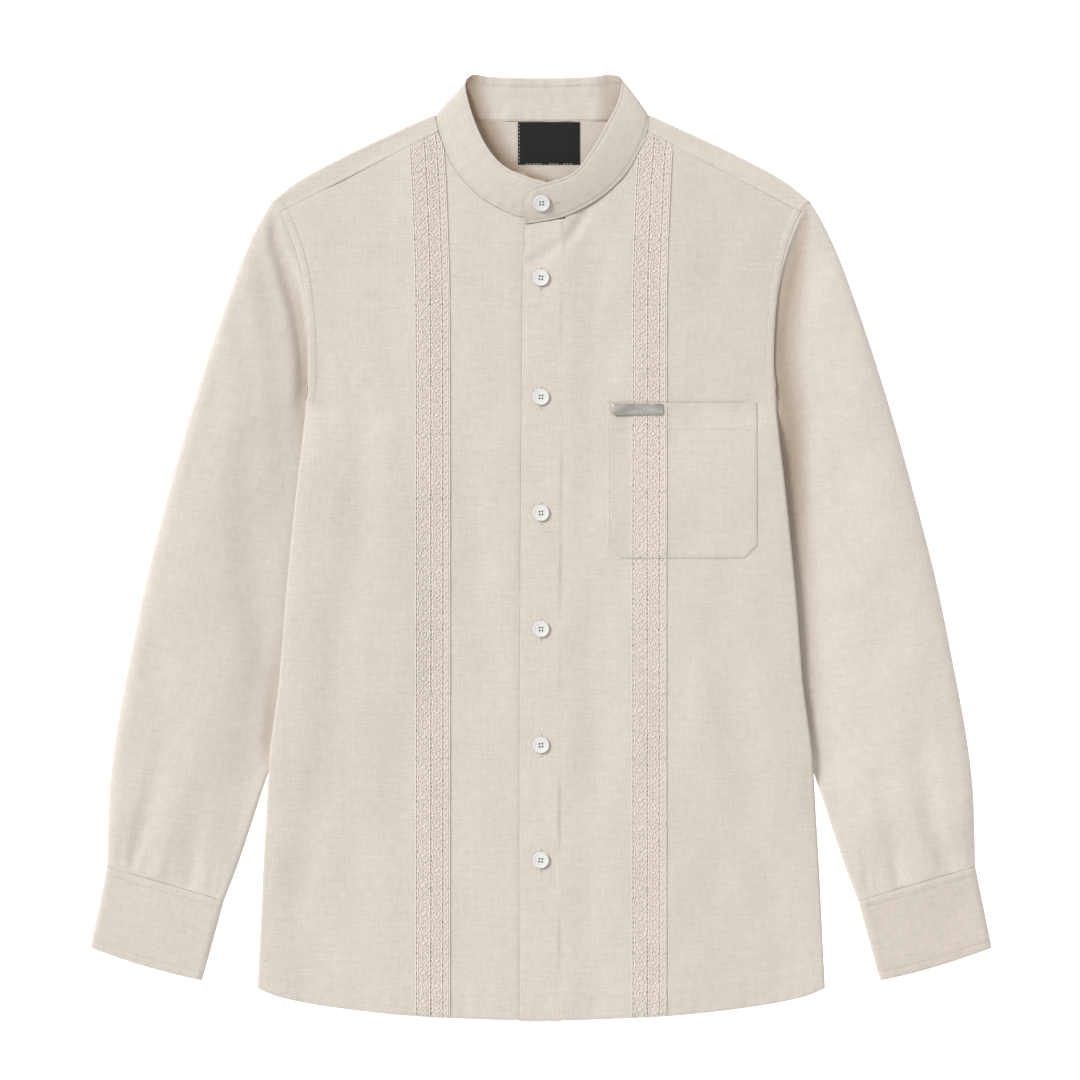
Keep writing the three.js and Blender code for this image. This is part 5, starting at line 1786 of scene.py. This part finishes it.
def pocket_stitches():
    """A row round the pocket, one at its top hem and a short bar at each end of its mouth."""
    inset = 1.7
    left, right = POCKET["left"] + inset, POCKET["right"] - inset
    low, cut = POCKET["bottom"] + inset, POCKET["chamfer"] - inset * 0.4
    start = POCKET["top"] - 2
    outline = [(left, start), (left, low + cut), (left + cut, low)]
    outline += [(right - cut, low), (right, low + cut), (right, start)]
    x, y = along(outline, np.arange(0, lengths_of(np.array(outline))[-1], 1.2)).T
    line = np.stack([x, y, pocket_z(x, y) - 0.15], -1)
    lace_at = TRIM_PLACE + 0.2
    made = [p for p in stitches(line) if abs(p[2, 0] - lace_at) > TRIM_HALF or p[2, 1] > 10]
    x = np.arange(left + 1, right - 1, 1.2)
    top = POCKET["top"] - POCKET_HEM
    hem = np.stack([x, np.full_like(x, top), pocket_z(x, top) - 0.05], -1)
    made += [p for p in stitches(hem) if abs(p[2, 0] - lace_at) > TRIM_HALF + 0.6]
    y = POCKET["top"] - 1 - np.arange(8)
    for x in (left, right):
        made += stitches(np.stack([np.full(8, x), y, pocket_z(x, y) + 0.05], -1), 1.2, 1.6)
    return made


def collar_stitches():
    """One row near each edge of the band's outer face and one on the inside of its back."""
    made = []
    normal = collar_normal
    for column in (4, -5):
        line = collar_points[6:-6, column] + normal[6:-6] * 0.02
        made += along_normal(line, normal[6:-6], 0.12)
    inner = collar_points - normal[:, None] * (collar_wall[..., None] + 0.02)
    line = inner[:, -11]
    behind = (line[:, 1] > 380) & (np.abs(line[:, 0]) < 62)
    made += along_normal(line[behind], -normal[behind], 0.16)
    return made


def along_normal(line, normal, rise, pitch=2.9, length=2.1):
    """Stitches that stand off a line along its normals."""
    s = lengths_of(line)
    shape = np.array([-0.8, 0.6, 1.0, 0.6, -0.8]) * rise
    made = []
    for k in range(int(s[-1] / pitch)):
        at = np.clip((k + 0.5) * pitch + np.linspace(-0.5, 0.5, 5) * length, 0, s[-1])
        n = np.stack([np.interp(at, s, normal[:, c]) for c in range(3)], -1)
        made.append(along(line, at) + n * shape[:, None])
    return made


def cuff_stitches(side):
    grid, _ = cuff_grid(side)
    return [path for row in (9, -10) for path in stitches(grid[row, 3:44] + [0, 0, 0.08])]


def yoke_stitches(side):
    grid = yoke_right if side > 0 else yoke_left
    column = np.argmin(np.abs(YOKE_SHARES - ARM_STITCH / YOKE_SEAM))
    return stitches(grid[column, 1:18] + [0, 0, 0.05])


def sewn(part, paths, radius=0.19, slot="cloth"):
    return placed(tubes("shirt_%s_stitches" % part, paths, radius, thread), slot)


body_paths = []
for side in (-1, 1):
    body_paths += front_stitches(side) + yoke_stitches(side)
sewn("body", body_paths)
placket_thread = sewn("placket", placket_stitches())
pocket_thread = sewn("pocket", pocket_stitches())
collar_thread = sewn("collar", collar_stitches(), 0.17, "collar_cloth")
cuff_thread = {side: sewn("cuff_" + hand, cuff_stitches(side)) for side, hand in HANDS}


# ---- sheets ----
# Cut sizes in metres of what shows, all round on a tube, with its flat area.
FLAT = {
    "back": (0.486, 0.679, 0.293),
    "yoke": (0.458, 0.118, 0.0366),
    "front_right": (0.258, 0.757, 0.166),
    "front_left": (0.226, 0.757, 0.144),
    "placket": (0.037, 0.684, 0.0252),
    "collar": (0.462, 0.034, 0.0156),
    "sleeve": (0.365, 0.606, 0.140),
    "cuff": (0.213, 0.070, 0.0148),
    "trim": (0.0300, 0.752, 0.0224),
    "pocket": (0.127, 0.133, 0.0168),
    "pocket_trim": (0.030, 0.133, 0.0039),
    "label": (0.0527, 0.0362, 0.0019),
}


def laid(piece, cut, rests_on, with_pieces=()):
    width, length, area = FLAT[cut]
    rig.sheet(piece, flat=(width, length), held="laid", rests_on=rests_on, area=area, with_pieces=with_pieces)


laid(back, "back", [sleeves[-1], sleeves[1]])
laid(yoke, "yoke", [back])
laid(front_right, "front_right", [back])
laid(front_left, "front_left", [back])
laid(placket, "placket", [front_right], [placket_thread])
laid(collar, "collar", [front_right, front_left, yoke], [collar_thread])
laid(pocket, "pocket", [front_left], [pocket_thread])
laid(pocket_trim, "pocket_trim", [pocket], [pocket_strands])
laid(label, "label", [yoke], [label_thread])
for side in (-1, 1):
    laid(sleeves[side], "sleeve", [back])
    laid(cuffs[side], "cuff", [sleeves[side]], [cuff_thread[side]])
    laid(trims[side][0], "trim", [front_left if side > 0 else front_right], [trims[side][1]])


# ---- stage, camera and light ----
VIEW_CENTRE = (-0.85 * MM, 6.3 * MM)
VIEW_WIDTH = 0.918
LENS = 100.0
SENSOR = 36.0
MEAN_HEIGHT = 0.006  # of the cloth that the view's width is measured at
FLOOR_REACH = 4.0
FLOOR_Z = -0.0004
camera = linked("camera", bpy.data.cameras.new("camera"))
camera.data.lens = LENS
camera.data.sensor_width = SENSOR
camera.location = (*VIEW_CENTRE, VIEW_WIDTH * LENS / SENSOR + MEAN_HEIGHT)
bpy.context.scene.camera = camera

floor = linked("floor", bpy.data.meshes.new("floor"))
corners = [(x * FLOOR_REACH, y * FLOOR_REACH, FLOOR_Z) for x, y in ((-1, -1), (1, -1), (1, 1), (-1, 1))]
floor.data.from_pydata(corners, [], [(0, 1, 2, 3)])
floor.data.materials.append(floor_material())
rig.stage(floor)


KEY_FROM = (-0.80, 0.52, 0.84)  # direction towards the key light
KEY_SHARE = 0.50  # irradiance of the key and of the sky on a level surface, where 1 shows albedo
SKY_SHARE = 0.68
key = linked("key", bpy.data.lights.new("key", "SUN"))
key_length = math.hypot(*KEY_FROM)
key.data.energy = KEY_SHARE * math.pi * key_length / KEY_FROM[2]
key.data.angle = math.radians(20)
key_turn = math.atan2(KEY_FROM[1], KEY_FROM[0]) + math.pi / 2
key.rotation_euler = (math.acos(KEY_FROM[2] / key_length), 0, key_turn)
world = bpy.data.worlds.new("world")
world.use_nodes = True
fill(world.node_tree, world.node_tree.nodes["Background"], {0: (1, 1, 1, 1), 1: SKY_SHARE})
bpy.context.scene.world = world
bpy.context.scene.view_settings.view_transform = "Standard"

visual_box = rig.bounds()
with open(SIZE_FILE, "w") as out_file:
    json.dump({"cad": [list(p) for p in cad_box], "visual": [list(p) for p in visual_box]}, out_file)
